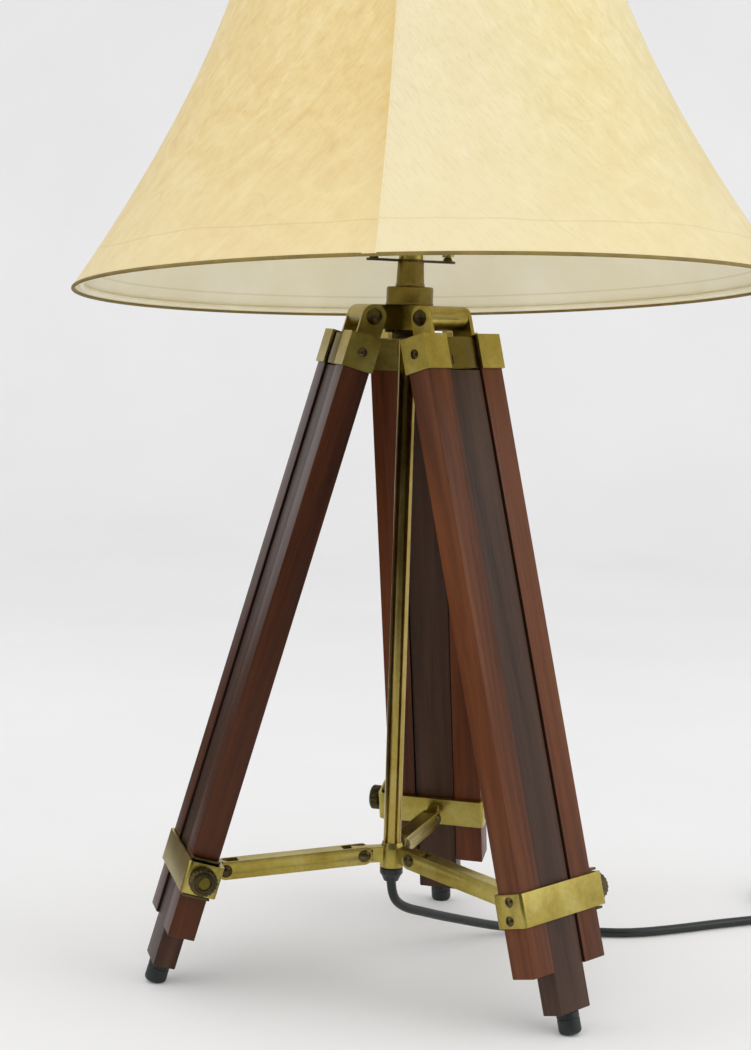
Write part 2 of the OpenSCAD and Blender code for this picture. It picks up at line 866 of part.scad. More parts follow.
// Shell of the socket, open at the top, with the hole of the switch shaft
module socket_shell() {
  r = socket_d / 2 - 0.9;
  color(brass)
    upper_frame()
      difference() {
        translate([0, 0, shell_foot + 0.5])
          cylinder(r = r, h = socket_h - 0.5);
        translate([0, 0, shell_foot])
          cylinder(r = r - 0.8, h = socket_h + 1);
        rotate([0, 0, harp_azimuth + 90])
          translate([0, 0, knob_up])
            rotate([0, 90, 0])
              cylinder(d = 5, h = socket_d);
      }
}

// Insulating liner with the floor that carries the contact
module socket_liner() {
  r = socket_d / 2 - 1.8;
  color([0.75, 0.7, 0.6])
    upper_frame()
      difference() {
        translate([0, 0, shell_foot + 0.5])
          cylinder(r = r, h = socket_h - 2);
        translate([0, 0, contact_foot])
          cylinder(r = base_d / 2 + 0.6, h = socket_h);
        translate([0, 0, shell_foot])
          cylinder(r = 8, h = 6);
        rotate([0, 0, harp_azimuth + 90])
          translate([0, 0, knob_up])
            rotate([0, 90, 0])
              cylinder(d = 5, h = socket_d);
      }
}

// Screw shell and centre contact inside the liner
module socket_contact() {
  r = base_d / 2 + 0.5;
  color(brass)
    upper_frame() {
      translate([0, 0, contact_foot + eps])
        difference() {
          cylinder(r = r, h = socket_h - 14);
          translate([0, 0, 1])
            cylinder(r = base_d / 2 + 0.1, h = socket_h);
          rotate([0, 0, harp_azimuth + 90])
            translate([r - 6, -4, -1])
              cube([12, 8, 9]);
        }
      translate([0, 0, contact_foot + 0.5])
        cylinder(d = 8, h = bulb_foot - contact_foot - 0.6);
    }
}

// Turn knob of the switch, with its shaft
module switch_knob() {
  r = socket_d / 2;
  color(rubber)
    upper_frame()
      rotate([0, 0, harp_azimuth + 90])
        translate([0, 0, knob_up])
          rotate([0, 90, 0]) {
            translate([0, 0, base_d / 2 + 0.8])
              cylinder(d = 4.8, h = r - base_d / 2 + 4);
            translate([0, 0, r + 4])
              difference() {
                cylinder(d = 10, h = 11);
                for (i = [0 : 9])
                  rotate(36 * i)
                    translate([5.3, 0, -1])
                      cylinder(r = 0.8, h = 14, $fn = 16);
              }
          }
}

// Screw base of the bulb
module bulb_base() {
  color([0.7, 0.7, 0.68])
    upper_frame()
      translate([0, 0, bulb_foot])
        rotate_extrude()
          polygon([
            [0, 0], [4, 0], [6, 3], [base_d / 2, 6], [base_d / 2, shell_top - bulb_foot + 2],
            [base_d / 2 - 1, shell_top - bulb_foot + 2], [base_d / 2 - 1, 8], [0, 6]
          ]);
}

// Glass of the bulb: a shell of an even wall, open into its base
module bulb_glass() {
  glass_t = 1;
  r = bulb_d / 2;
  neck_r = base_d / 2 - 1.1;
  foot = shell_top - 14;
  ball_z = shell_top + bulb_h - r;
  shoulder_z = shell_top + 4;
  color([0.95, 0.94, 0.9, 0.6])
    upper_frame()
      rotate_extrude()
        polygon(concat(
          [[neck_r, foot], [neck_r, shoulder_z]],
          ball_arc(r, ball_z),
          [for (i = [arc_steps : -1 : 0]) ball_arc(r - glass_t, ball_z)[i]],
          [[neck_r - glass_t, shoulder_z], [neck_r - glass_t, foot]]
        ));
}

arc_steps = 16;
function ball_arc(r, z) = [
  for (i = [0 : arc_steps])
    let (a = -38 + 128 * i / arc_steps)
    [i < arc_steps ? r * cos(a) : 0, z + r * sin(a)]
];

// Frame of the shade: washer, three arms and the upper ring
module shade_frame() {
  wire_r = frame_wire_d / 2;
  top_ring_r = ring_r(shade_h - ring_edge);
  ring_z = shade_top_z - ring_edge;
  arm_foot = running + washer_t / 2;
  washer_r = 11;
  rise = ring_z - arm_foot;
  reach = top_ring_r - washer_r + 1;
  color(brass)
    shade_place() {
      translate([0, 0, running])
        difference() {
          cylinder(r = washer_r, h = washer_t);
          translate([0, 0, -1])
            cylinder(d = stud_d + 4 * running, h = washer_t + 2);
        }
      for (i = [0 : 2])
        rotate([0, 0, 120 * i + 60])
          translate([washer_r - 1, 0, arm_foot])
            rotate([0, atan2(reach, rise), 0])
              cylinder(r = wire_r * 0.8, h = norm([reach, rise]));
      translate([0, 0, ring_z])
        rotate_extrude($fn = 96)
          translate([top_ring_r, 0])
            circle(r = wire_r, $fn = 16);
    }
}

// Wire ring inside the lower rim
module shade_ring() {
  color(brass)
    shade_place()
      translate([0, 0, rim_z + ring_edge])
        rotate_extrude($fn = 96)
          translate([ring_r(ring_edge), 0])
            circle(d = frame_wire_d, $fn = 16);
}

shade_steps = 14;
module shade_shell(inset, wall, low, high) {
  step = (high - low) / shade_steps;
  outer = [for (i = [0 : shade_steps]) [shade_r(low + step * i) - inset, rim_z + low + step * i]];
  inner = [for (i = [shade_steps : -1 : 0]) [shade_r(low + step * i) - inset - wall, rim_z + low + step * i]];
  shade_place()
    rotate_extrude($fn = 128)
      polygon(concat(outer, inner));
}

// Parchment cover of the shade, a bell
module shade_cover() {
  color(parchment)
    shade_shell(0, cover_t, 0, shade_h);
}

// Lining inside the cover
module shade_lining() {
  color(lining_cream)
    shade_shell(cover_t + seat_gap, lining_t, 0.6, shade_h - 0.6);
}

// Rolled binding round the two rims, split to grip the cover's edge
module shade_rims() {
  grip = 3;
  wall = (rim_roll_d - cover_t) / 2;
  color([0.62, 0.53, 0.25])
    shade_place() {
      shade_binding(0, -wall, grip, wall);
      shade_binding(shade_h, wall, -grip, wall);
    }
}

module shade_binding(h, lip, grip, wall) {
  r0 = shade_r(h);
  r1 = shade_r(h + grip);
  z0 = rim_z + h;
  rotate_extrude($fn = 128)
    polygon([
      [r0 + 0.05, z0 - sign(lip) * 0.02], [r1 + 0.05, z0 + grip], [r1 + wall, z0 + grip],
      [r0 + wall, z0], [r0 + wall / 2, z0 + lip], [r0 - cover_t, z0 + lip],
      [r0 - cover_t, z0 + sign(lip) * 0.02], [r0, z0 + sign(lip) * 0.02]
    ]);
}

// Turned finial on the stud
module finial() {
  foot = washer_t + 2 * running;
  color(brass)
    shade_place()
      translate([0, 0, foot])
        rotate_extrude()
          polygon([
            [stud_d / 2 + running, 0], [7.5, 0], [7.5, 1.6], [5, 3], [4.6, 6], [6.4, 9], [7, 12.5],
            [6.2, 16.5], [3.2, 19.4], [2.6, 21], [3, 22.6], [1.8, 24.6], [0, 25],
            [0, 15], [stud_d / 2 + running, 15]
          ]);
}

// Free stretch of the cord
module cord_lead() {
  sides = 10;
  color(rubber)
    polyhedron(
      tube_points(lead_points, cord_d / 2, sides, [0, 1, 0]),
      tube_faces(len(lead_points), sides)
    );
}

// Stored length of the cord: one tube wound in two layers
module cord_coil() {
  sides = 6;
  color(rubber)
    polyhedron(
      tube_points(coil_points, cord_d / 2, sides, [0, 0, 1]),
      tube_faces(len(coil_points), sides)
    );
}

// Tie round the turns of the coil
module cord_tie() {
  tie_w = 5;
  tie_angle = 20;
  in_r = coil_inner_r - cord_d / 2 - seat_gap;
  out_r = coil_outer_r + cord_d / 2 + seat_gap;
  low = layer_z[0] - cord_d / 2 - seat_gap;
  top = layer_z[1] + cord_d / 2 + seat_gap;
  color([0.2, 0.2, 0.2])
    translate([coil_centre[0], coil_centre[1], 0])
      rotate([0, 0, tie_angle])
        difference() {
          block([in_r - tie_t, -tie_w / 2, low - tie_t], [out_r + tie_t, tie_w / 2, top + tie_t]);
          block([in_r, -tie_w, low], [out_r, tie_w, top]);
        }
}

// Moulded two-blade plug, with its short strain relief
module plug_body() {
  color(rubber)
    translate(plug_at) {
      rotate([0, 90, 0])
        cylinder(r1 = cord_d / 2 + 0.6, r2 = 5.6, h = plug_relief);
      translate([plug_relief - eps, 0, -plug_t / 2])
        linear_extrude(plug_t)
          difference() {
            round_rect([0, -plug_w / 2], [plug_body_l, plug_w / 2], 5);
            for (side = [-1, 1])
              translate([plug_body_l * 0.46, side * (plug_w / 2 + 4)])
                circle(r = 6);
          }
    }
}

// Flat blades of the plug
module plug_blades() {
  blade = [17.5, 1.5, 6.2];
  pitch = 12.7;
  color([0.75, 0.72, 0.6])
    translate(plug_at)
      for (side = [-1, 1])
        translate([plug_relief + plug_body_l - eps, side * pitch / 2 - blade[1] / 2, -blade[2] / 2])
          cube(blade);
}

hub();
hub_washer();
hub_nut();
centre_tube();
cord_gland();
cup();
neck();
nipple();
collar();
leg_rails(1);  // leg_1_rails
leg_head(1);  // leg_1_head
leg_band(1);  // leg_1_band
leg_plate(1);  // leg_1_plate
leg_screws(1);  // leg_1_screws
leg_centre(1);  // leg_1_centre
leg_foot(1);  // leg_1_foot
leg_knob(1);  // leg_1_knob
brace(1);  // brace_1
brace_pins(1);  // brace_1_pins
leg_rails(2);  // leg_2_rails
leg_head(2);  // leg_2_head
leg_band(2);  // leg_2_band
leg_plate(2);  // leg_2_plate
leg_screws(2);  // leg_2_screws
leg_centre(2);  // leg_2_centre
leg_foot(2);  // leg_2_foot
leg_knob(2);  // leg_2_knob
brace(2);  // brace_2
brace_pins(2);  // brace_2_pins
leg_rails(3);  // leg_3_rails
leg_head(3);  // leg_3_head
leg_band(3);  // leg_3_band
leg_plate(3);  // leg_3_plate
leg_screws(3);  // leg_3_screws
leg_centre(3);  // leg_3_centre
leg_foot(3);  // leg_3_foot
leg_knob(3);  // leg_3_knob
brace(3);  // brace_3
brace_pins(3);  // brace_3_pins
harp_saddle();
harp();
harp_sleeves();
socket_cap();
socket_shell();
socket_liner();
socket_contact();
switch_knob();
bulb_base();
bulb_glass();
shade_frame();
shade_ring();
shade_cover();
shade_lining();
shade_rims();
finial();
cord_lead();
cord_coil();
cord_tie();
plug_body();
plug_blades();
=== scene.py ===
import json
import math

import bmesh
import bpy
from mathutils import Matrix, Vector


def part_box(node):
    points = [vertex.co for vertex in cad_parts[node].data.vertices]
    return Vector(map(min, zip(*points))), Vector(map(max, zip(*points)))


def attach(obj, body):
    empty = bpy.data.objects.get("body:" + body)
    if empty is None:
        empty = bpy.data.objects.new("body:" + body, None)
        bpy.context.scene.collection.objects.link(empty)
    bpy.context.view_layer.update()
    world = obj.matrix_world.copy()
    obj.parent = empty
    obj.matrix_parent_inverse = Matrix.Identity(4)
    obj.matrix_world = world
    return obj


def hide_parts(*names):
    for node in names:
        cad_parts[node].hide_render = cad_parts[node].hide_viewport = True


# Tripod table lamp, dressed over its CAD frame. All lengths are in metres.
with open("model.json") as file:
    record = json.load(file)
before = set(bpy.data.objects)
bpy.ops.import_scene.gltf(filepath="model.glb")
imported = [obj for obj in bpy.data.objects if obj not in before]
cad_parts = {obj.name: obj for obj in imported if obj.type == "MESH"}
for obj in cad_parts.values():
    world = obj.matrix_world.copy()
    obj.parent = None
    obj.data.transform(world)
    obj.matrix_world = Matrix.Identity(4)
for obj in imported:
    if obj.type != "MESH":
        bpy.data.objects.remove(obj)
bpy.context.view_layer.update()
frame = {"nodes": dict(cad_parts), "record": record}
record = frame["record"]
bodyOfNode = {n: b for b, names in record["behaviour"]["bodies"].items() for n in names}
slotOfNode = {s["node"]: s["material_slot"] for s in record["subparts"]}
placeOfJoint = {j["name"]: Vector(j["pos_m"]) for j in record["behaviour"]["joints"] if "pos_m" in j}
legPivot = placeOfJoint["leg_1_fold"]
print("frame loaded:", len(frame["nodes"]), "nodes")

camera = {
    "spot": (0.0002, -1.2558, 0.445),
    "pan": 0.824,  # degrees
    "tilt": 83.522,
    "roll": 1.761,
    "lens": 43.485,
    "sensorHeight": 24.0,
}


def turned(degrees, axis):
    return Matrix.Rotation(math.radians(degrees), 4, axis)


def placeCamera():
    data = bpy.data.cameras.new("camera")
    data.sensor_fit = "VERTICAL"
    data.sensor_height = camera["sensorHeight"]
    data.lens = camera["lens"]
    data.clip_start = 0.02
    data.clip_end = 60
    view = bpy.data.objects.new("camera", data)
    bpy.context.scene.collection.objects.link(view)
    turn = turned(camera["pan"], "Z") @ turned(camera["tilt"], "X") @ turned(camera["roll"], "Z")
    view.matrix_world = Matrix.Translation(camera["spot"]) @ turn
    bpy.context.scene.camera = view


placeCamera()

# Materials: each one is built from a coordinate, a few noises and colour ramps


class Finish:
    # one node material, with short calls for the nodes that the finishes share
    def __init__(self, name, roughness, metallic=0.0):
        self.material = bpy.data.materials.new(name)
        self.material.use_nodes = True
        self.tree = self.material.node_tree
        self.shader = self.tree.nodes["Principled BSDF"]
        self.shader.inputs["Roughness"].default_value = roughness
        self.shader.inputs["Metallic"].default_value = metallic
        self.coords = self.tree.nodes.new("ShaderNodeTexCoord")

    def ownPlace(self):
        # where a point of a shade's skin lies, seen from the shade's axis and seam
        made = self.node("ShaderNodeAttribute", attribute_type="GEOMETRY")
        made.attribute_name = "skinPlace"
        return made.outputs["Vector"]

    def split(self, source):
        # the X, Y and Z outputs of a vector
        made = self.node("ShaderNodeSeparateXYZ")
        self.join(source, made.inputs[0])
        return made.outputs

    def node(self, kind, **settings):
        made = self.tree.nodes.new(kind)
        for key, value in settings.items():
            setattr(made, key, value)
        return made

    def join(self, source, target):
        self.tree.links.new(source, target)

    def spread(self, scale, turn=0, source=None):
        # coordinates turned about Z and then stretched
        at = source or self.coords.outputs["Object"]
        for key, value in (("Rotation", (0, 0, math.radians(turn))), ("Scale", scale)):
            mapping = self.node("ShaderNodeMapping")
            mapping.inputs[key].default_value = value
            self.join(at, mapping.inputs["Vector"])
            at = mapping.outputs["Vector"]
        return at

    def noise(self, vector, scale, detail=3.0, rough=0.5, warp=0.0):
        made = self.node("ShaderNodeTexNoise")
        made.inputs["Scale"].default_value = scale
        made.inputs["Detail"].default_value = detail
        made.inputs["Roughness"].default_value = rough
        made.inputs["Distortion"].default_value = warp
        self.join(vector, made.inputs["Vector"])
        return made.outputs["Fac"]

    def ramp(self, value, *stops):
        made = self.node("ShaderNodeValToRGB")
        points = made.color_ramp.elements
        while len(points) < len(stops):
            points.new(0.5)
        for point, (place, colour) in zip(points, stops):
            point.position = place
            tone = fromScreen(colour) if isinstance(colour, tuple) else (colour, colour, colour)
            point.color = (*tone, 1)
        self.join(value, made.inputs["Fac"])
        return made.outputs["Color"]

    def mix(self, amount, first, second, how="MIX"):
        # sockets 6 and 7 are the node's two colours, and output 2 is their mix
        made = self.node("ShaderNodeMix", data_type="RGBA", blend_type=how)
        for socket, value in ((0, amount), (6, first), (7, second)):
            if isinstance(value, (int, float)):
                made.inputs[socket].default_value = value
            elif isinstance(value, tuple):
                made.inputs[socket].default_value = (*fromScreen(value), 1)
            else:
                self.join(value, made.inputs[socket])
        return made.outputs[2]

    def sums(self, how, *values):
        made = self.node("ShaderNodeMath", operation=how)
        for socket, value in zip(made.inputs, values):
            if isinstance(value, (int, float)):
                socket.default_value = value
            else:
                self.join(value, socket)
        return made.outputs[0]

    def between(self, value, low, high, fromLow=0.0, fromHigh=1.0):
        made = self.node("ShaderNodeMapRange")
        limits = {"From Min": fromLow, "From Max": fromHigh, "To Min": low, "To Max": high}
        for name, number in limits.items():
            made.inputs[name].default_value = number
        self.join(value, made.inputs["Value"])
        return made.outputs["Result"]

    def colour(self, value):
        self.join(value, self.shader.inputs["Base Color"])

    def rough(self, value):
        self.join(value, self.shader.inputs["Roughness"])

    def bump(self, height, strength, distance=0.001):
        made = self.node("ShaderNodeBump")
        made.inputs["Strength"].default_value = strength
        made.inputs["Distance"].default_value = distance
        self.join(height, made.inputs["Height"])
        self.join(made.outputs["Normal"], self.shader.inputs["Normal"])


def fromScreen(colour):
    # the sRGB colour as it is seen, 0 to 255, to the value that a shader takes
    def channel(c):
        c = c / 255
        return c / 12.92 if c < 0.04045 else ((c + 0.055) / 1.055) ** 2.4
    return tuple(channel(c) for c in colour)


wood = {
    "rail": ((54, 29, 16), (92, 50, 26), (112, 64, 34)),
    "railRough": (0.26, 0.42),
    "centre": ((50, 35, 27), (66, 47, 37), (80, 59, 47)),
    "centreRough": (0.32, 0.48),
    # painted shade: each leg's wood is multiplied by its own tone, darker on legs 2 and 3, leg 3
    # most, for the shade they stand in
    "railShadeTones": {1: (1.0, 1.0, 1.0), 2: (0.95, 0.82, 0.64), 3: (0.52, 0.46, 0.38)},
    "centreShadeTones": {1: (1.0, 1.0, 1.0), 2: (0.9, 0.8, 0.68), 3: (0.9, 0.76, 0.62)},
    "bands": (70, 70, 3.2),  # noise scales, across and along the grain
    "fibres": (620, 620, 9),
    "fibreShare": 0.4,
    "pores": (1500, 1500, 55),
    "poreShare": 0.35,
    # painted shade on the rails' inner walls, in the gap beside the centre bar
    "wallHalf": 0.0151,  # the rails' inner walls lie nearer the leg's middle than this
    "wallShadeShare": 0.85,
    "wallShadeTone": (14, 9, 7),
    "apart": 7.0,  # how far apart in the noises two pieces can lie
    "gloss": 0.2,
    "relief": 0.22,
}


def woodFinish(name, tones, roughness, shift, shadedWalls=False):
    # grain runs along the leg, which is Z in the piece's own coordinates
    f = Finish(name, 0.4)
    place = f.node("ShaderNodeVectorMath", operation="ADD")
    f.join(f.coords.outputs["Object"], place.inputs[0])
    own = f.node("ShaderNodeObjectInfo")
    f.join(f.sums("MULTIPLY_ADD", own.outputs["Random"], wood["apart"], shift), place.inputs[1])
    at = place.outputs[0]
    bands = f.noise(f.spread(wood["bands"], source=at), 1.0, 4, 0.55, 0.6)
    fibres = f.noise(f.spread(wood["fibres"], source=at), 1.0, 5, 0.6)
    pores = f.noise(f.spread(wood["pores"], source=at), 1.0, 2, 0.5)
    base = f.ramp(bands, (0.28, tones[0]), (0.5, tones[1]), (0.74, tones[2]))
    base = f.mix(wood["fibreShare"], base, f.ramp(fibres, (0.35, 0.62), (0.6, 1.0)), "MULTIPLY")
    base = f.mix(wood["poreShare"], base, f.ramp(pores, (0.33, 0.35), (0.42, 1.0)), "MULTIPLY")
    if shadedWalls:
        # painted shade: the rails' inner walls along the sliding centre bar are darkened, as the
        # narrow gap there lies in shadow
        across = f.split(f.coords.outputs["Object"])[1]
        wall = f.sums("LESS_THAN", f.sums("ABSOLUTE", across), wood["wallHalf"])
        base = f.mix(f.sums("MULTIPLY", wall, wood["wallShadeShare"]), base, wood["wallShadeTone"])
    # the piece's own colour multiplies the wood; on the legs it carries their painted shade
    f.colour(f.mix(1.0, base, own.outputs["Color"], "MULTIPLY"))
    f.rough(f.between(fibres, roughness[1], roughness[0], 0.3, 0.7))
    f.shader.inputs["Specular IOR Level"].default_value = wood["gloss"]
    f.bump(f.mix(0.5, fibres, pores), wood["relief"], 0.0004)
    return f.material


metal = {"marks": (260, 260, 60), "grime": 340, "grimeShare": 0.25, "relief": 0.06}


def metalFinish(name, dark, main, light, roughness, patchSize=26):
    # aged brass: a lacquer that has worn in patches, with fine marks
    f = Finish(name, 0.3, 1.0)
    at = f.coords.outputs["Object"]
    patches = f.noise(at, patchSize, 4, 0.6, 0.3)
    marks = f.noise(f.spread(metal["marks"]), 1.0, 5, 0.65)
    grime = f.noise(at, metal["grime"], 3, 0.6)
    base = f.ramp(patches, (0.3, dark), (0.52, main), (0.72, light))
    base = f.mix(metal["grimeShare"], base, f.ramp(grime, (0.3, 0.5), (0.55, 1.0)), "MULTIPLY")
    f.colour(f.mix(1.0, base, f.node("ShaderNodeObjectInfo").outputs["Color"], "MULTIPLY"))
    uneven = f.mix(0.5, patches, marks)
    f.rough(f.between(uneven, roughness[0], roughness[1], 0.3, 0.7))
    f.bump(f.mix(0.6, marks, grime), metal["relief"], 0.0003)
    return f.material


def plainFinish(name, dark, light, roughness, grain=900, relief=0.15, blotch=30):
    # moulded rubber, plastic, card or glass: fine grain with a soft blotch
    f = Finish(name, roughness)
    at = f.coords.outputs["Object"]
    fine = f.noise(at, grain, 3, 0.6)
    soft = f.noise(at, blotch, 3, 0.5)
    both = f.mix(0.45, soft, fine)
    f.colour(f.ramp(both, (0.36, dark), (0.64, light)))
    f.rough(f.between(both, roughness - 0.06, roughness + 0.08, 0.35, 0.65))
    f.bump(fine, relief, 0.0003)
    return f.material


shade = {
    "lean": 4.8,
    "leanTo": 119.0,
    "bottom": 0.455,
    "top": 0.216,
    "height": 0.255,
    "flare": 1.5,
    "hang": 0.238,
    "coverWall": 0.0012,
    "liningWall": 0.0008,
    "liningInset": 0.0006,
    "gap": 0.0002,
    "seam": 262.3,
    "overlap": 0.011,
    "step": 0.0007,
    "lapEnd": 0.0009,  # angles in radians
    "lapAngles": (-0.003, 0.0008, 0.004, -0.03, -0.045),
    "lapRise": 0.7,
    "hem": 0.02,
    "hemDepth": 0.0001,
    "hemHalf": 0.0022,
    "rollRadius": 0.0011,
    "rollShift": 0.0004,
    "middleRadius": 0.2,  # turns an angle round the shade into a length
    "sides": 240,
    "levels": 28,
}

parchment = {
    "leftPanel": ((212, 182, 118), (222, 199, 139), (230, 212, 160)),
    "rightPanel": ((216, 196, 136), (224, 207, 153), (232, 219, 174)),
    # painted light: the pale tone laid on the front beside the seam, and how much of it
    "paleTone": (226, 217, 186),
    "frontLightShare": 0.6,
    "flatRadius": 0.19,
    "panelsApart": 3.7,
    "strokes": ((34, 120, 1), -48),  # noise scales and their turn in degrees
    "blots": ((55, 75, 1), 20),
    "fibres": ((130, 760, 1), -52),
    "fibreShare": 0.55,
    "clouds": 9,
    "veins": ((6, 14, 1), -30),
    "veinHalf": 0.003,
    "veinBreaks": 16,
    "veinTone": (160, 122, 62),
    "lapWide": 0.03,
    "lapTone": (196, 160, 84),
    "lapShare": 0.28,
    "rimHigh": 0.09,
    "rimTone": (228, 212, 168),
    "rimShare": 0.5,
    # the hem crease, painted as a thin darker line of shade
    "creaseHalf": 0.0005,
    "creaseWaves": 12,
    "creaseWave": 0.012,
    "creaseShadeTone": (160, 124, 62),
    "creaseShadeShare": 0.14,
}


def parchmentFinish():
    # two panels of parchment that meet in a lapped seam, which ownPlace's X points to
    f = Finish("parchment", 0.52)
    x, y, z = f.split(f.ownPlace())
    angle = f.sums("ARCTAN2", y, x)
    rightSide = f.sums("GREATER_THAN", angle, 0.0)
    # the skin laid flat, with the two panels mirrored and far apart in the noises
    apart = f.sums("MULTIPLY", rightSide, parchment["panelsApart"])
    run = f.node("ShaderNodeCombineXYZ")
    around = f.sums("MULTIPLY_ADD", f.sums("ABSOLUTE", angle), -parchment["flatRadius"], apart)
    f.join(around, run.inputs[0])
    f.join(z, run.inputs[1])
    flat = run.outputs[0]
    strokes = f.noise(f.spread(*parchment["strokes"], flat), 1.0, 6, 0.65, 0.5)
    blots = f.noise(f.spread(*parchment["blots"], flat), 1.0, 5, 0.6, 0.8)
    fibres = f.noise(f.spread(*parchment["fibres"], flat), 1.0, 4, 0.62, 0.4)
    clouds = f.noise(flat, parchment["clouds"], 3, 0.5)
    mottle = f.mix(0.25, f.mix(0.5, strokes, blots), clouds)
    panels = []
    for tones in (parchment["leftPanel"], parchment["rightPanel"]):
        panels.append(f.ramp(mottle, (0.34, tones[0]), (0.5, tones[1]), (0.66, tones[2])))
    # painted light: the right panel is painted palest beside the seam, where the shade faces the
    # front, fading toward its side
    pale = f.sums("MULTIPLY", f.between(angle, 1.0, 0.0, 0.05, 0.75), parchment["frontLightShare"])
    body = f.mix(rightSide, panels[0], f.mix(pale, panels[1], parchment["paleTone"]))
    lines = f.ramp(fibres, (0.36, 0.86), (0.5, 1.0))
    body = f.mix(parchment["fibreShare"], body, lines, "MULTIPLY")
    veins = f.noise(f.spread(*parchment["veins"], flat), 1.0, 2, 0.5, 0.3)
    fromVein = f.sums("ABSOLUTE", f.sums("SUBTRACT", veins, 0.5))
    thin = f.sums("LESS_THAN", fromVein, parchment["veinHalf"])
    broken = f.between(f.noise(flat, parchment["veinBreaks"], 2), 0.0, 0.14, 0.5, 0.62)
    body = f.mix(f.sums("MULTIPLY", thin, broken), body, parchment["veinTone"])
    # the lap: the left panel deepens toward its cut edge
    across = f.sums("MULTIPLY", angle, shade["middleRadius"])
    lap = f.between(across, 0.0, 1.0, -parchment["lapWide"], 0.0)
    onLeft = f.sums("MULTIPLY", lap, f.sums("LESS_THAN", angle, 0.0))
    deep = f.sums("MULTIPLY", f.sums("POWER", onLeft, 2.0), parchment["lapShare"])
    body = f.mix(deep, body, parchment["lapTone"])
    # paler toward the rim, with a faint hem crease painted as a thin line of shade
    up = f.sums("SUBTRACT", z, -shade["hang"])
    low = f.between(up, 1.0, 0.0, 0.0, parchment["rimHigh"])
    body = f.mix(f.sums("MULTIPLY", low, parchment["rimShare"]), body, parchment["rimTone"])
    wave = parchment["creaseWave"]
    waves = f.noise(flat, parchment["creaseWaves"], 2)
    wavy = f.sums("MULTIPLY_ADD", waves, wave, shade["hem"] - wave / 2)
    fromCrease = f.sums("ABSOLUTE", f.sums("SUBTRACT", up, wavy))
    crease = f.sums("LESS_THAN", fromCrease, parchment["creaseHalf"])
    faint = f.sums("MULTIPLY", crease, parchment["creaseShadeShare"])
    f.colour(f.mix(faint, body, parchment["creaseShadeTone"]))
    f.rough(f.between(mottle, 0.6, 0.44, 0.35, 0.65))
    f.bump(f.mix(0.5, mottle, fibres), 0.12, 0.0004)
    return f.material


lining = {
    "darkTone": (244, 236, 206),
    "paleTone": (251, 245, 222),
    "clouds": 14,
    "warp": 900.0,  # radians of wave per radian round the shade
    "weft": 5200.0,  # and per metre up it
    "weaveShare": 0.18,
    "hemUp": 0.012,
    "hemHalf": 0.0006,
    "hemTone": (172, 150, 100),
    "hemShare": 0.2,
}


def liningFinish():
    # cream cloth lining: a fine weave and a hem line above the lower rim
    f = Finish("creamLining", 0.75)
    x, y, z = f.split(f.ownPlace())
    warp = f.sums("SINE", f.sums("MULTIPLY", f.sums("ARCTAN2", y, x), lining["warp"]))
    weft = f.sums("SINE", f.sums("MULTIPLY", z, lining["weft"]))
    weave = f.between(f.sums("ADD", warp, weft), 0.0, 1.0, -2.0, 2.0)
    clouds = f.noise(f.ownPlace(), lining["clouds"], 4, 0.55)
    base = f.ramp(clouds, (0.35, lining["darkTone"]), (0.65, lining["paleTone"]))
    base = f.mix(lining["weaveShare"], base, f.ramp(weave, (0.1, 0.7), (0.6, 1.0)), "MULTIPLY")
    up = f.sums("SUBTRACT", z, -shade["hang"])
    fromHem = f.sums("ABSOLUTE", f.sums("SUBTRACT", up, lining["hemUp"]))
    hem = f.sums("LESS_THAN", fromHem, lining["hemHalf"])
    f.colour(f.mix(f.sums("MULTIPLY", hem, lining["hemShare"]), base, lining["hemTone"]))
    f.bump(weave, 0.12, 0.0002)
    return f.material


finishes = {
    "rail_wood": woodFinish("railWood", wood["rail"], wood["railRough"], 0.0, shadedWalls=True),
    "centre_wood": woodFinish("centreWood", wood["centre"], wood["centreRough"], 3.1),
    "brass": metalFinish("agedBrass", (150, 132, 58), (178, 160, 80), (196, 181, 108), (0.26, 0.42)),
    "dark_brass": metalFinish("darkBrass", (56, 49, 33), (88, 78, 50), (116, 104, 70), (0.26, 0.44)),
    "polished_brass": metalFinish(
        "polishedBrass", (150, 126, 58), (190, 166, 92), (206, 186, 120), (0.12, 0.28), 18
    ),
    "black_rubber": plainFinish("blackRubber", (10, 14, 15), (22, 27, 28), 0.46, 700, 0.3),
    "black_plastic": plainFinish("blackPlastic", (14, 18, 19), (27, 31, 32), 0.34, 1100, 0.1),
    "liner_card": plainFinish("linerCard", (168, 150, 116), (202, 186, 152), 0.8, 1300, 0.35),
    "plated_steel": metalFinish(
        "platedSteel", (150, 150, 146), (186, 186, 182), (208, 208, 204), (0.2, 0.36)
    ),
    "bulb_glass": plainFinish("bulbGlass", (236, 234, 226), (246, 245, 240), 0.22, 400, 0.02),
    "parchment": parchmentFinish(),
    "cream_lining": liningFinish(),
    "rim_trim": plainFinish("rimTrim", (108, 91, 36), (142, 121, 54), 0.6, 1500, 0.4, 60),
    "cord_sheath": plainFinish("cordSheath", (16, 21, 20), (30, 36, 34), 0.38, 1200, 0.12),
    "blade_brass": metalFinish(
        "bladeBrass", (150, 140, 104), (196, 186, 148), (214, 206, 172), (0.2, 0.34)
    ),
}
print("finishes made:", len(finishes))

# Mesh tools


def addPiece(name, mesh, where=None, smooth=30):
    piece = bpy.data.objects.new(name, mesh)
    bpy.context.scene.collection.objects.link(piece)
    if where is not None:
        piece.matrix_world = where
    mesh.shade_smooth()
    mesh.set_sharp_from_angle(angle=math.radians(smooth))
    return piece


def fromBmesh(name, bm, where=None, smooth=30):
    bmesh.ops.recalc_face_normals(bm, faces=bm.faces)
    mesh = bpy.data.meshes.new(name)
    bm.to_mesh(mesh)
    bm.free()
    return addPiece(name, mesh, where, smooth)


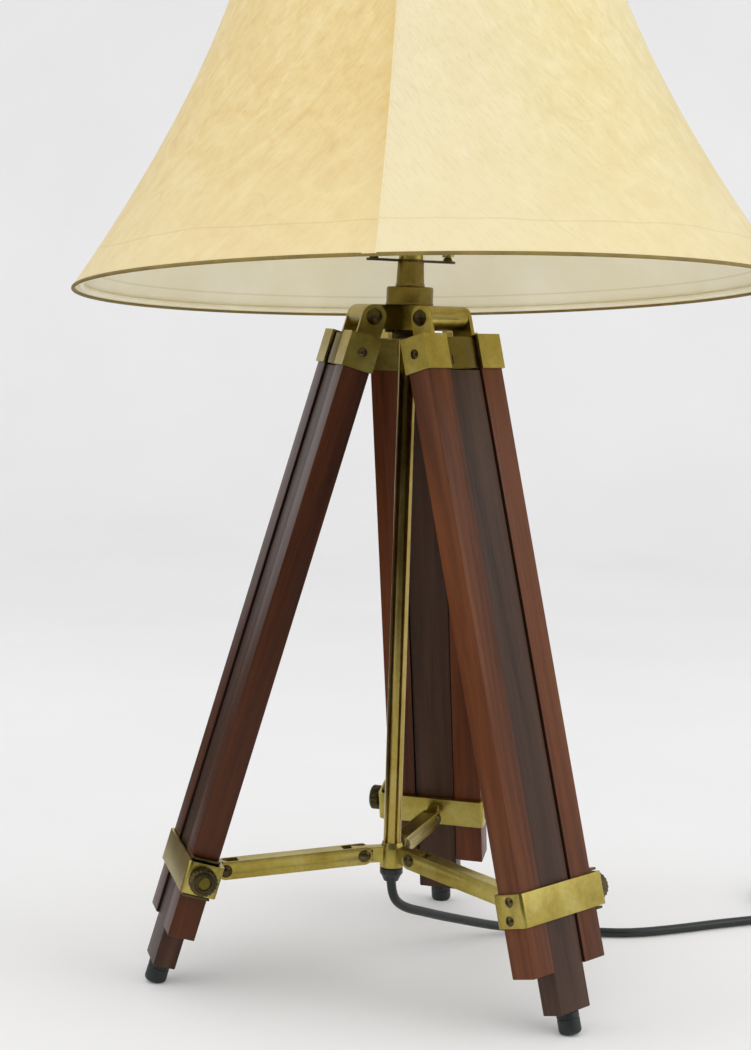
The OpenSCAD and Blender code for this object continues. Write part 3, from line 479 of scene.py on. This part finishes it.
def addsTo(piece, body, slotName):
    # the piece rides this body in this finish
    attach(piece, body)
    piece.data.materials.clear()
    piece.data.materials.append(finishes[slotName])
    return piece


def standsFor(piece, *nodes):
    # the piece takes the place of these CAD nodes, on their body and in their finish
    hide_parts(*nodes)
    return addsTo(piece, bodyOfNode[nodes[0]], slotOfNode[nodes[0]])


def bridge(bm, first, second):
    # a closed band of faces between two rings with as many points
    for i in range(len(first)):
        n = (i + 1) % len(first)
        bm.faces.new((first[i], first[n], second[n], second[i]))


def sheet(name, rows, smooth=30):
    # an open sheet through rows of points
    bm = bmesh.new()
    made = [[bm.verts.new(p) for p in row] for row in rows]
    for a, b in zip(made, made[1:]):
        for i in range(len(a) - 1):
            bm.faces.new((a[i], a[i + 1], b[i + 1], b[i]))
    return fromBmesh(name, bm, None, smooth)


def softBox(name, low, high, edge, where=None):
    # a box from corner to corner with rounded edges
    bm = bmesh.new()
    bmesh.ops.create_cube(bm, size=1)
    low, high = Vector(low), Vector(high)
    for v in bm.verts:
        v.co = Vector(low[i] + (v.co[i] + 0.5) * (high[i] - low[i]) for i in range(3))
    bmesh.ops.bevel(bm, geom=bm.edges[:], offset=edge, segments=3, profile=0.6, affect="EDGES")
    return fromBmesh(name, bm, where)


def turnedPiece(name, profile, segments=64, where=None, closed=False, shape=None):
    # a profile of (radius, height) turned round Z; shape(angle, ring) may scale a ring's radius
    bm = bmesh.new()
    rings = []
    for j, (r, z) in enumerate(profile):
        if r < 1e-7:
            rings.append([bm.verts.new((0, 0, z))])
            continue
        ring = []
        for i in range(segments):
            a = 2 * math.pi * i / segments
            rr = r * shape(a, j) if shape else r
            ring.append(bm.verts.new((rr * math.cos(a), rr * math.sin(a), z)))
        rings.append(ring)
    pairs = list(zip(rings, rings[1:]))
    if closed:
        pairs.append((rings[-1], rings[0]))
    for a, b in pairs:
        if len(a) == len(b):
            bridge(bm, a, b)
            continue
        for i in range(segments):
            n = (i + 1) % segments
            bm.faces.new((a[0], b[i], b[n]) if len(a) == 1 else (a[i], a[n], b[0]))
    return fromBmesh(name, bm, where)


def bentRod(name, points, radius, sides=16, where=None):
    # a round rod along a list of points, its frame carried along so that it doesn't twist
    pts = [Vector(p) for p in points]
    last = len(pts) - 1
    tangents = [(pts[min(i + 1, last)] - pts[max(i - 1, 0)]).normalized() for i in range(len(pts))]
    side = tangents[0].orthogonal().normalized()
    bm = bmesh.new()
    rings = []
    for p, t in zip(pts, tangents):
        side = (side - side.dot(t) * t).normalized()
        other = t.cross(side)
        ring = []
        for i in range(sides):
            a = 2 * math.pi * i / sides
            ring.append(bm.verts.new(p + radius * (math.cos(a) * side + math.sin(a) * other)))
        rings.append(ring)
    for a, b in zip(rings, rings[1:]):
        bridge(bm, a, b)
    bm.faces.new(rings[0])
    bm.faces.new(rings[-1])
    return fromBmesh(name, bm, where)


def openEdges(bm):
    return sum(1 for e in bm.edges if len(e.link_faces) != 2)


def dressed(node, edge=0.0003, sharp=28, smooth=30):
    # the CAD node's own shape with its flat faces joined and its edges broken
    bm = bmesh.new()
    bm.from_mesh(frame["nodes"][node].data)
    bmesh.ops.remove_doubles(bm, verts=bm.verts, dist=1e-6)
    flat = math.radians(0.6)
    bmesh.ops.dissolve_limit(bm, angle_limit=flat, verts=bm.verts[:], edges=bm.edges[:])
    whole = bm.copy()
    bm.normal_update()
    paired = [e for e in bm.edges if len(e.link_faces) == 2]
    picked = [e for e in paired if e.calc_face_angle(0) > math.radians(sharp)]
    bmesh.ops.bevel(
        bm, geom=picked, offset=edge, segments=2, profile=0.6, affect="EDGES", clamp_overlap=True
    )
    if openEdges(bm) > openEdges(whole):
        print("  left unbroken:", node)
        bm.free()
        bm = whole
    else:
        whole.free()
    mesh = bpy.data.meshes.new(node + "_dressed")
    bm.to_mesh(mesh)
    bm.free()
    return standsFor(addPiece(node + "_dressed", mesh, None, smooth), node)


def hexSocket(*rings):
    # these rings of a turned piece are six-sided, as the socket of a screw is
    side, half = math.radians(60), math.radians(30)

    def shape(a, j):
        return math.cos(half) / math.cos(a % side - half) if j in rings else 1.0
    return shape


# Cord: the free stretch, the stored coil and the tail, on one line

cord = {
    "diameter": 0.0064,
    "length": 1.805,
    "exitHeight": 0.068,
    "lead": (
        # in millimetres, from the gland to the coil
        (0, 0, 68), (0, 0, 61.5), (1.5, 1.5, 51), (5, 5.5, 43.5), (12, 12, 37.5), (23, 22.5, 31.8),
        (35.5, 35, 25.4), (49.5, 48, 19), (64, 61, 12.6), (76, 70.5, 8), (89.5, 77.5, 5),
        (104, 81, 3.6), (120, 81.5, 3.2), (136, 80, 3.2), (152, 78.5, 3.2), (168, 79, 3.2),
        (184, 82.5, 3.2), (200, 88.5, 3.2), (214, 94.5, 3.2), (228, 101, 3.2), (242, 107.5, 3.2),
        (256, 113.5, 3.2), (270, 119, 3.2), (284, 123, 3.2), (298, 125.4, 3.4), (312, 126, 3.8),
        (324, 126, 4.2), (332, 126, 4.2),
    ),
    "turns": 6,
    "ringsPerTurn": 24,
    "innerRadius": 0.0258,
    "selfGap": 0.0007,
    "climb": 0.5,
    "tail": 0.031,
    "plugHeight": 0.009,
}


def cordLine():
    lead = [Vector(p) * 0.001 for p in cord["lead"]]
    pitch = cord["diameter"] + cord["selfGap"]
    half = cord["turns"] / 2
    outer = cord["innerRadius"] + pitch * half
    end = lead[-1]
    centre = (end.x + cord["diameter"], end.y + outer)

    def coilPoint(t):
        rise = min(1, max(0, (t - half) / cord["climb"] + 0.5))
        r = cord["innerRadius"] + pitch * abs(t - half)
        a = 2 * math.pi * t
        z = end.z + pitch * rise * rise * (3 - 2 * rise)
        return Vector((centre[0] + r * math.sin(a), centre[1] - r * math.cos(a), z))

    steps = cord["turns"] * cord["ringsPerTurn"]
    coil = [coilPoint(i / cord["ringsPerTurn"]) for i in range(steps + 1)]
    last = coil[-1]
    plugX = last.x + cord["tail"]
    tail = [
        Vector((last.x + cord["diameter"], last.y, last.z)),
        Vector((plugX - cord["diameter"], last.y, cord["plugHeight"])),
        Vector((plugX, last.y, cord["plugHeight"])),
    ]
    return lead + coil + tail


def smoothLine(points, steps):
    # a finer line through the same points
    fine = []
    for i in range(len(points) - 1):
        a, b = points[max(i - 1, 0)], points[i]
        c, d = points[i + 1], points[min(i + 2, len(points) - 1)]
        for j in range(steps):
            t = j / steps
            square = 2 * a - 5 * b + 4 * c - d
            cube = 3 * b - a - 3 * c + d
            fine.append(0.5 * (2 * b + (c - a) * t + square * t * t + cube * t * t * t))
    return fine + [points[-1]]


def layCord():
    line = smoothLine(cordLine(), 3)
    rod = bentRod("mains_cord", line, cord["diameter"] / 2)
    return standsFor(rod, "cord_lead", "cord_coil"), line


mainsCord, cordPath = layCord()
cordPieces = [dressed("cord_tie"), dressed("plug_body", 0.0008), dressed("plug_blades", 0.0003)]
print("cord laid")

# Legs

leg = {
    "azimuth": -44,
    "lean": 16,
    "pivotRadius": legPivot.xy.length,
    "pivotHeight": legPivot.z,
    "inset": 0.0048,
    "railDepth": 0.018,
    "railIn": 0.0147,
    "railOut": 0.0347,
    "railTop": -0.015,
    "railEnd": -0.418,
    "railEdge": 0.0009,
    "centreDepth": 0.015,
    "centreHalf": 0.0144,
    "centreEdge": 0.001,
    "centreTop": -0.0365,
    "centreEnd": -0.445,
    "footRadius": 0.0072,
    "footEnd": -0.4592,
    "bandMid": -0.3759,
    "bandOut": 0.0367,
    "bandFar": 0.0429,
}


def legPlace(k):
    return (
        turned(leg["azimuth"] + 120 * (k - 1), "Z")
        @ Matrix.Translation((leg["pivotRadius"], 0, leg["pivotHeight"]))
        @ turned(-leg["lean"], "Y")
    )


screw = {
    "capRadius": 0.0032,
    "capHeight": 0.0016,
    "socketRadius": 0.0016,
    "socketDepth": 0.0008,
    "capShank": 0.0015,
    "capGrip": 0.0014,
    "capUp": -0.0249,
    "bandGrip": 0.002,
    "bandIn": 0.001,
    "bandApart": 0.00583,
    "pivotRadius": 0.0053,
    "pivotHeight": 0.004,
    "pivotShank": 0.003,
    "earOut": 0.0203,
}


def domeBall(radius, height):
    # the radius of the ball that a dome head of this radius and height is cut from
    return (radius * radius + height * height) / (2 * height)


def pivotScrew(where, grip):
    # plain dome head on z = 0, and its shank below
    radius, height, shank = screw["pivotRadius"], screw["pivotHeight"], screw["pivotShank"]
    profile = [(0, -grip), (shank, -grip), (shank, 0), (radius, 0), (radius, height * 0.1)]
    ball = domeBall(radius, height)
    turnTo = math.acos((ball - height) / ball)
    for i in range(1, 10):
        a = turnTo * (1 - i / 10)
        profile.append((ball * math.sin(a), height - ball + ball * math.cos(a)))
    return turnedPiece("screw", profile + [(0, height)], 40, where)


def capScrew(where, grip):
    # dome head on z = 0 with a hexagon socket, and its shank below
    radius, height, shank = screw["capRadius"], screw["capHeight"], screw["capShank"]
    socket = screw["socketRadius"]
    profile = [(0, -grip), (shank, -grip), (shank, 0), (radius, 0), (radius, height * 0.12)]
    ball = domeBall(radius, height)
    for i in range(1, 7):
        r = radius + (socket - radius) * i / 6
        profile.append((r, height - ball + math.sqrt(ball * ball - r * r)))
    rim = len(profile) - 1
    brim = profile[rim][1]
    floor = brim - screw["socketDepth"]
    profile += [(socket * 0.94, brim - 0.0002), (socket * 0.92, floor), (0, floor - socket * 0.25)]
    return turnedPiece("screw", profile, 36, where, shape=hexSocket(rim, rim + 1, rim + 2))


def joined(name, pieces):
    # several shells made one object, each still closed
    bm = bmesh.new()
    for piece in pieces:
        mesh = piece.data
        mesh.transform(piece.matrix_world)
        bm.from_mesh(mesh)
        bpy.data.objects.remove(piece)
        bpy.data.meshes.remove(mesh)
    return fromBmesh(name, bm)


def buildRails(k, place):
    rails = []
    for side in (-1, 1):
        inner, outer = sorted((side * leg["railIn"], side * leg["railOut"]))
        low = (leg["inset"] - leg["railDepth"] / 2, inner, leg["railEnd"])
        high = (leg["inset"] + leg["railDepth"] / 2, outer, leg["railTop"])
        rails.append(softBox(f"leg_{k}_rail", low, high, leg["railEdge"]))
    both = joined(f"leg_{k}_rails_wood", rails)
    both.matrix_world = place
    # painted shade: this leg's rails take its darker tone
    both.color = (*wood["railShadeTones"][k], 1)
    return standsFor(both, f"leg_{k}_rails")


def buildCentre(k, place):
    half = leg["centreDepth"] / 2
    low = (leg["inset"] - half, -leg["centreHalf"], leg["centreEnd"])
    high = (leg["inset"] + half, leg["centreHalf"], leg["centreTop"])
    bar = softBox(f"leg_{k}_centre_wood", low, high, leg["centreEdge"], place)
    # painted shade: this leg's centre bar takes its darker tone
    bar.color = (*wood["centreShadeTones"][k], 1)
    return standsFor(bar, f"leg_{k}_centre")


def buildScrews(k, place):
    # two at the pivot, one through each cap and two through the band
    made = []
    for side in (-1, 1):
        turn = turned(-90 * side, "X")
        at = place @ Matrix.Translation((0, side * screw["earOut"], 0)) @ turn
        made.append(pivotScrew(at, screw["earOut"]))
        capAt = (leg["inset"], side * (leg["railOut"] + screw["capGrip"]), screw["capUp"])
        made.append(capScrew(place @ Matrix.Translation(capAt) @ turn, screw["capGrip"]))
    for up in (-1, 1):
        bandAt = (
            leg["inset"] + up * screw["bandIn"],
            -leg["bandOut"],
            leg["bandMid"] + up * screw["bandApart"],
        )
        made.append(capScrew(place @ Matrix.Translation(bandAt) @ turned(90, "X"), screw["bandGrip"]))
    return standsFor(joined(f"leg_{k}_screw_set", made), f"leg_{k}_screws")


knob = {
    "radius": 0.009,
    "flutes": 20,
    "fluteDepth": 0.05,
    "tip": 0.0368,
    "seat": 0.0002,
    "bossTone": (0.34, 0.34, 0.32, 1),
}


def buildKnob(k, place):
    # plain shank, narrow neck, fluted grip and a face with a turned groove
    at = place @ Matrix.Translation((leg["inset"], 0, leg["bandMid"])) @ turned(-90, "X")
    r = knob["radius"]
    tip = knob["tip"]
    base = leg["bandFar"] + knob["seat"]
    profile = [(0, tip), (0.0022, tip), (0.0025, tip + 0.0003), (0.0025, base)]
    profile += [(0.0057, base), (0.0059, base + 0.0002), (0.0059, base + 0.0011)]
    grip = ((0.0005, 0.0013), (0, 0.0018), (0, 0.0066), (0.0004, 0.0072))  # in from the rim, and up
    face = (
        (0.0014, 0.0080), (0.0020, 0.0083), (0.0026, 0.0083), (0.0029, 0.0080), (0.0033, 0.0080),
        (0.0036, 0.0084), (0.0044, 0.0084), (0.0047, 0.0080), (0.0048, 0.0076), (r, 0.0076),
    )
    gripRings = range(len(profile), len(profile) + len(grip))
    profile += [(r - inward, base + up) for inward, up in grip + face]

    def fluted(a, j):
        if j not in gripRings:
            return 1.0
        return 1.0 - knob["fluteDepth"] * max(0.0, math.cos(a * knob["flutes"])) ** 0.7

    whole = turnedPiece(f"leg_{k}_knob_turned", profile, knob["flutes"] * 10, at, shape=fluted)
    standsFor(whole, f"leg_{k}_knob")
    cap = [(0, 0.0077), (0.0037, 0.0077), (0.0037, 0.0079), (0.0034, 0.0081), (0, 0.0083)]
    boss = turnedPiece(f"leg_{k}_knob_boss", [(wide, base + up) for wide, up in cap], 48, at)
    addsTo(boss, bodyOfNode[f"leg_{k}_knob"], "brass").color = knob["bossTone"]


def buildFoot(k, place):
    # rubber foot with one groove, worn flat where it stands
    r = leg["footRadius"]
    end = leg["footEnd"]
    corner = 0.003
    profile = [(0, end)]
    for i in range(9):
        a = math.pi / 2 * i / 8
        profile.append((r - corner + corner * math.sin(a), end + corner - corner * math.cos(a)))
    groove = ((0, 0.0096), (0.0003, 0.0099), (0.0003, 0.0104), (0, 0.0107))
    top = ((0, 0.0138), (0.0004, 0.0142), (r, 0.0142))
    profile += [(r - inward, end + up) for inward, up in groove + top]
    at = place @ Matrix.Translation((leg["inset"], 0, 0))
    foot = turnedPiece(f"leg_{k}_foot_rubber", profile, 48, at)
    foot.data.transform(at)
    foot.matrix_world = Matrix.Identity(4)
    for v in foot.data.vertices:
        v.co.z = max(v.co.z, 0.0)
    return standsFor(foot, f"leg_{k}_foot")


bow = {
    "half": 0.0143,
    "bulge": 0.0024,
    "front": 0.0146,
    "wall": 0.001,
    "low": -0.036,
    "high": -0.0156,
    "steps": 24,
    "tone": (0.36, 0.34, 0.33, 1),
    "slitAt": -0.0109,
    "slitWide": 0.0012,
    "slitDeep": 0.0008,
    "slitProud": 0.0004,
    "slitEdge": 0.0002,
    "slitLow": -0.0336,
    "slitHigh": -0.0272,
}


def bowFront(y):
    return bow["front"] - bow["bulge"] * (y / bow["half"]) ** 2


def buildBow(k, place):
    # bowed plate between the caps, with a black strip near one edge painted as the shade of a slit
    bm = bmesh.new()
    rows = []
    for i in range(bow["steps"] + 1):
        y = bow["half"] * (2 * i / bow["steps"] - 1)
        x = bowFront(y)
        back = x - bow["wall"]
        corners = (x, bow["low"]), (x, bow["high"]), (back, bow["high"]), (back, bow["low"])
        rows.append([bm.verts.new((at, y, z)) for at, z in corners])
    for a, b in zip(rows, rows[1:]):
        bridge(bm, a, b)
    bm.faces.new(rows[0])
    bm.faces.new(rows[-1])
    addsTo(fromBmesh(f"leg_{k}_bow", bm, place), f"leg_{k}", "brass").color = bow["tone"]
    # painted shade: a thin black strip stands proud of the bow where the slit's shade falls
    edge = bow["slitAt"]
    front = bowFront(edge)
    low = (front - bow["slitDeep"], edge, bow["slitLow"])
    high = (front + bow["slitProud"], edge + bow["slitWide"], bow["slitHigh"])
    slitShade = softBox(f"leg_{k}_slit", low, high, bow["slitEdge"], place)
    addsTo(slitShade, f"leg_{k}", "black_plastic")


for k in (1, 2, 3):
    place = legPlace(k)
    buildRails(k, place)
    buildCentre(k, place)
    buildScrews(k, place)
    buildKnob(k, place)
    buildFoot(k, place)
    buildBow(k, place)
    dressed(f"leg_{k}_head", 0.0005)
    dressed(f"leg_{k}_band", 0.0005)
    dressed(f"leg_{k}_plate", 0.0003)
    dressed(f"brace_{k}", 0.0004)
    dressed(f"brace_{k}_pins", 0.0001, 50, 40)
print("legs built")

# Hub, tube, collar and the upper stack

stack = {
    "lean": 0.6,
    "saddleHeight": legPivot.z + 0.036,
    "hubTop": legPivot.z + 0.008,
    "tubeRadius": 0.006,
    "tubeWall": 0.0012,
    "cupRadius": 0.0157,
    "cupHeight": 0.012,
    "cupBore": 0.0061,
    "harpAzimuth": 15,
    "harpHeight": 0.22,
    "harpHalf": 0.052,
    "saddleHalf": 0.025,
    "waist": 0.6,
    "wire": 0.0018,
    "tubeTone": (0.78, 0.79, 0.74, 1),
    "cupTone": (0.5, 0.47, 0.5, 1),
}


def stackPlace():
    return Matrix.Translation((0, 0, stack["saddleHeight"])) @ turned(stack["lean"], "Y")


def shadePlace():
    lean = math.radians(stack["lean"])
    seat = (
        stack["harpHeight"] * math.sin(lean),
        0,
        stack["saddleHeight"] + stack["harpHeight"] * math.cos(lean),
    )
    turn = turned(shade["leanTo"], "Z") @ turned(shade["lean"], "Y") @ turned(-shade["leanTo"], "Z")
    return Matrix.Translation(seat) @ turn


def buildTube():
    low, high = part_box("centre_tube")
    r = stack["tubeRadius"]
    bore = r - stack["tubeWall"]
    edge = 0.0002
    profile = [
        (bore, low.z), (r - edge, low.z), (r, low.z + edge),
        (r, high.z - edge), (r - edge, high.z), (bore, high.z),
    ]
    return standsFor(turnedPiece("centre_tube_turned", profile, 64, closed=True), "centre_tube")


def buildCup():
    # a shallow cup with a bead round its foot
    z = stack["hubTop"]
    r = stack["cupRadius"]
    bore = stack["cupBore"]
    outline = (
        (0.0003, 0), (0, 0.0003), (0, 0.0011), (0.00035, 0.0015), (0.0004, 0.0107),
        (0.0006, 0.0114), (0.0011, 0.0118), (0.0019, stack["cupHeight"]),
    )
    profile = [(bore, z)] + [(r - inward, z + up) for inward, up in outline]
    profile.append((bore, z + stack["cupHeight"]))
    return standsFor(turnedPiece("cup_turned", profile, 96, closed=True), "cup")


def bezier(a, b, c, d, count):
    # points along the curve, without its first
    points = []
    for i in range(1, count + 1):
        t = i / count
        u = 1 - t
        shares = (u ** 3, 3 * u * u * t, 3 * u * t * t, t ** 3)
        points.append(tuple(sum(w * p[j] for w, p in zip(shares, (a, b, c, d))) for j in range(3)))
    return points


def buildHarp():
    # a wire bent up both sides to a waist and closed over the top, with its stud
    w = stack["harpHalf"]
    s = stack["saddleHalf"]
    waist = stack["harpHeight"] * stack["waist"]
    top = stack["harpHeight"] - 0.003
    side = [(s, 0, 0.0121), (s, 0, 0.03), (s, 0, 0.042)]
    side += bezier(side[-1], (s, 0, 0.076), (w, 0, waist - 0.044), (w, 0, waist), 16)
    side += bezier(side[-1], (w, 0, waist + 0.052), (w * 0.62, 0, top), (0.008, 0, top), 18)
    route = side + [(-x, y, z) for x, y, z in reversed(side)]
    place = stackPlace() @ turned(stack["harpAzimuth"], "Z")
    wire = bentRod("harp_wire", route, stack["wire"], 20, place)
    stud = turnedPiece("harp_stud", [
        (0, -0.005), (0.0062, -0.005), (0.0065, -0.0047), (0.0065, -0.0003), (0.0062, 0),
        (0.0031, 0), (0.0031, 0.0146), (0.0027, 0.015), (0, 0.015),
    ], 48, shadePlace())
    return standsFor(joined("harp_bent", [wire, stud]), "harp")


for node in (
    "hub", "hub_washer", "hub_nut", "cord_gland", "neck", "nipple", "collar", "harp_saddle",
    "harp_sleeves", "socket_cap", "socket_shell", "socket_liner", "socket_contact",
    "switch_knob", "bulb_base", "bulb_glass", "finial",
):
    piece = dressed(node)
    if node in ("neck", "nipple"):
        piece.color = stack["cupTone"]
buildTube().color = stack["tubeTone"]
buildCup().color = stack["cupTone"]
buildHarp()
print("hub and stack built")

# Shade: cover, lining, rolled rims and wire frame, in the frame that leans on the harp


def shadeRadius(up):
    half = (shade["bottom"] - shade["top"]) / 2
    return shade["top"] / 2 + half * max(0.0, 1 - up / shade["height"]) ** shade["flare"]


def skinPlace():
    # the shade's axis and seat, with X toward the seam
    return shadePlace() @ turned(shade["seam"], "Z")


def seamLift(a):
    # at both seams one panel's edge lies over the other's
    wide = shade["overlap"] / shade["middleRadius"]
    best = 0.0
    for seamAt in (0.0, math.pi):
        d = (a - seamAt + math.pi) % (2 * math.pi) - math.pi
        if -wide <= d <= shade["lapEnd"]:
            best = max(best, shade["step"] * min(1.0, (d + wide) / (wide * shade["lapRise"])))
    return best


def skinRing(bm, angles, radii, z):
    return [bm.verts.new((r * math.cos(a), r * math.sin(a), z)) for a, r in zip(angles, radii)]


def shadeSkin(name, inset, wall, low, high, lapped):
    # one skin of the shade, with its X axis toward the seam
    angles = [2 * math.pi * i / shade["sides"] for i in range(shade["sides"])]
    if lapped:
        # more points where the lap begins and ends
        for seamAt in (0.0, math.pi):
            angles += [(seamAt + d) % (2 * math.pi) for d in shade["lapAngles"]]
    angles = sorted(angles)
    lifts = [seamLift(a) if lapped else 0.0 for a in angles]
    bm = bmesh.new()
    outer = []
    inner = []
    for i in range(shade["levels"] + 1):
        up = low + (high - low) * i / shade["levels"]
        r = shadeRadius(up) - inset
        z = -shade["hang"] + up
        crease = 0.0
        if lapped:
            crease = -shade["hemDepth"] * math.exp(-((up - shade["hem"]) / shade["hemHalf"]) ** 2)
        outer.append(skinRing(bm, angles, [r + lift + crease for lift in lifts], z))
        inner.append(skinRing(bm, angles, [r - wall] * len(angles), z))
    loops = outer + inner[::-1] + [outer[0]]
    for a, b in zip(loops, loops[1:]):
        bridge(bm, a, b)
    skin = fromBmesh(name, bm, None, 40)
    skin.data.transform(skinPlace())
    return marked(skin)


def marked(skin):
    # keeps where each point lies from the shade's axis and seam, which the skins' finishes read
    back = skinPlace().inverted()
    own = skin.data.attributes.new("skinPlace", "FLOAT_VECTOR", "POINT")
    for v, kept in zip(skin.data.vertices, own.data):
        kept.vector = back @ v.co
    return skin


def rolledRim(up, outward):
    # cloth binding rolled over the edge of the cover
    r = shadeRadius(up) - shade["coverWall"] / 2
    z = -shade["hang"] + up
    roll = shade["rollRadius"]
    shift = outward * shade["rollShift"]
    angles = [2 * math.pi * i / 14 for i in range(14)]
    profile = [(r + roll * math.cos(a), z + roll * math.sin(a) + shift) for a in angles]
    return turnedPiece("rim", profile, shade["sides"], shadePlace(), closed=True)


def buildShade():
    height = shade["height"]
    cover = shadeSkin("shade_parchment", 0.0, shade["coverWall"], 0.0, height, True)
    standsFor(cover, "shade_cover")
    inset = shade["coverWall"] + shade["gap"]
    low = shade["liningInset"]
    cloth = shadeSkin("shade_lining_cloth", inset, shade["liningWall"], low, height - low, False)
    standsFor(cloth, "shade_lining")
    rims = [rolledRim(0.0, -1), rolledRim(height, 1)]
    standsFor(joined("shade_bindings", rims), "shade_rims")
    dressed("shade_frame", 0.0002, 60, 40)
    # the lower wire ring is bound in the lining's cloth
    ring = marked(dressed("shade_ring", 0.0002, 60, 40))
    ring.data.materials[0] = finishes["cream_lining"]


buildShade()
print("shade built")

# Studio: a pale floor that curves up, a soft sky, three lamps and two cloths for reflections

studio = {
    "floor": (237, 237, 238),
    # painted shade: the floor is painted darker toward the back, between farFrom and farTo
    "farShadeTone": 0.92,  # how dark the floor gets between these two places along Y
    "farFrom": 0.1,
    "farTo": 1.3,
    "halfWidth": 7.0,
    "front": -6.0,
    "wallAt": 2.2,
    "bend": 1.2,
    "wallTop": 5.0,
    "backdrop": 0.82,
    "sky": 0.97,
    "cloths": (
        # name, finish, its two tones, and pairs of corners from edge to edge
        ("studio_dark_cloth", "darkCloth", (40, 40, 42), (58, 58, 60), (
            ((-2.6, -0.95, 0.01), (2.6, -0.95, 0.01)),
            ((-2.6, -2.6, 0.01), (2.6, -2.6, 0.01)),
            ((-2.6, -2.6, 2.6), (2.6, -2.6, 2.6)),
        )),
        ("studio_side_cloth", "sideCloth", (74, 62, 54), (92, 78, 68), (
            ((-0.35, -0.5, 0.01), (-0.35, 3.3, 0.01)),
            ((-1.5, -0.5, 0.01), (-1.5, 3.3, 0.01)),
            ((-1.5, -0.5, 0.3), (-1.5, 3.3, 0.3)),
        )),
    ),
    "lamps": (
        # name, place, what it points at, size, power, colour
        ("lampRight", (3.2, -1.1, 2.2), (0, 0, 0.35), 2.9, 30.0, (1.0, 0.99, 0.975)),
        ("lampLeft", (-3.0, -0.95, 1.9), (0, 0, 0.35), 2.6, 17.5, (1.0, 1.0, 1.0)),
        ("lampLow", (0.1, -1.7, 0.1), (0, 0.15, 0.55), 0.7, 4.5, (1.0, 1.0, 1.0)),
    ),
}


def floorFinish():
    # pale and matt, with painted shade: a little darker far behind the lamp
    f = Finish("paleFloor", 0.6)
    tone = f.noise(f.coords.outputs["Object"], 3.0, 2, 0.5)
    pale = tuple(c + 3 for c in studio["floor"])
    base = f.ramp(tone, (0.3, studio["floor"]), (0.7, pale))
    along = f.split(f.coords.outputs["Object"])[1]
    far = f.between(along, 1.0, studio["farShadeTone"], studio["farFrom"], studio["farTo"])
    f.colour(f.mix(1.0, base, far, "MULTIPLY"))
    f.shader.inputs["Specular IOR Level"].default_value = 0.0
    return f.material


def buildFloor():
    wallAt, bend = studio["wallAt"], studio["bend"]
    line = [(studio["front"], 0.0), (wallAt, 0.0)]
    for i in range(1, 13):
        a = math.pi / 2 * i / 12
        line.append((wallAt + bend * math.sin(a), bend - bend * math.cos(a)))
    line.append((wallAt + bend, studio["wallTop"]))
    wide = studio["halfWidth"]
    under = 0.0002  # keeps the floor clear of the feet and the cord
    floor = sheet("studio_floor", [[(x, y, z - under) for x in (-wide, wide)] for y, z in line], 60)
    floor.data.materials.append(floorFinish())


def hangCloths():
    # the dark one is under and behind the camera, the low one at the left; only reflections see them
    for name, finish, dark, pale, rows in studio["cloths"]:
        cloth = sheet(name, rows)
        cloth.data.materials.append(plainFinish(finish, dark, pale, 0.9))
        for ray in ("camera", "diffuse", "shadow", "transmission"):
            setattr(cloth, "visible_" + ray, False)


def hangLamps():
    for name, spot, aim, size, power, colour in studio["lamps"]:
        data = bpy.data.lights.new(name, "AREA")
        data.shape = "DISK"
        data.size = size
        data.energy = power
        data.color = colour
        lamp = bpy.data.objects.new(name, data)
        bpy.context.scene.collection.objects.link(lamp)
        turn = (Vector(aim) - Vector(spot)).to_track_quat("-Z", "Y")
        lamp.matrix_world = Matrix.Translation(spot) @ turn.to_matrix().to_4x4()
        lamp.visible_glossy = name != "lampLow"


def buildSky():
    # bright for the light that falls on things, dimmer where it is seen or mirrored
    world = bpy.data.worlds.new("studioSky")
    bpy.context.scene.world = world
    world.use_nodes = True
    tree = world.node_tree
    tree.nodes.clear()
    out = tree.nodes.new("ShaderNodeOutputWorld")
    mix = tree.nodes.new("ShaderNodeMixShader")
    rays = tree.nodes.new("ShaderNodeLightPath")
    seen = rays.outputs["Is Camera Ray"]
    for kind in ("Is Glossy Ray", "Is Transmission Ray"):
        either = tree.nodes.new("ShaderNodeMath")
        either.operation = "MAXIMUM"
        tree.links.new(seen, either.inputs[0])
        tree.links.new(rays.outputs[kind], either.inputs[1])
        seen = either.outputs[0]
    tree.links.new(seen, mix.inputs["Fac"])
    skies = (((1.0, 0.998, 0.995, 1), studio["sky"]), ((1.0, 1.0, 1.0, 1), studio["backdrop"]))
    for socket, (colour, strength) in enumerate(skies, 1):
        sky = tree.nodes.new("ShaderNodeBackground")
        sky.inputs["Color"].default_value = colour
        sky.inputs["Strength"].default_value = strength
        tree.links.new(sky.outputs[0], mix.inputs[socket])
    tree.links.new(mix.outputs[0], out.inputs["Surface"])


buildFloor()
hangCloths()
hangLamps()
buildSky()
bpy.context.scene.view_settings.view_transform = "Standard"
print("studio built")
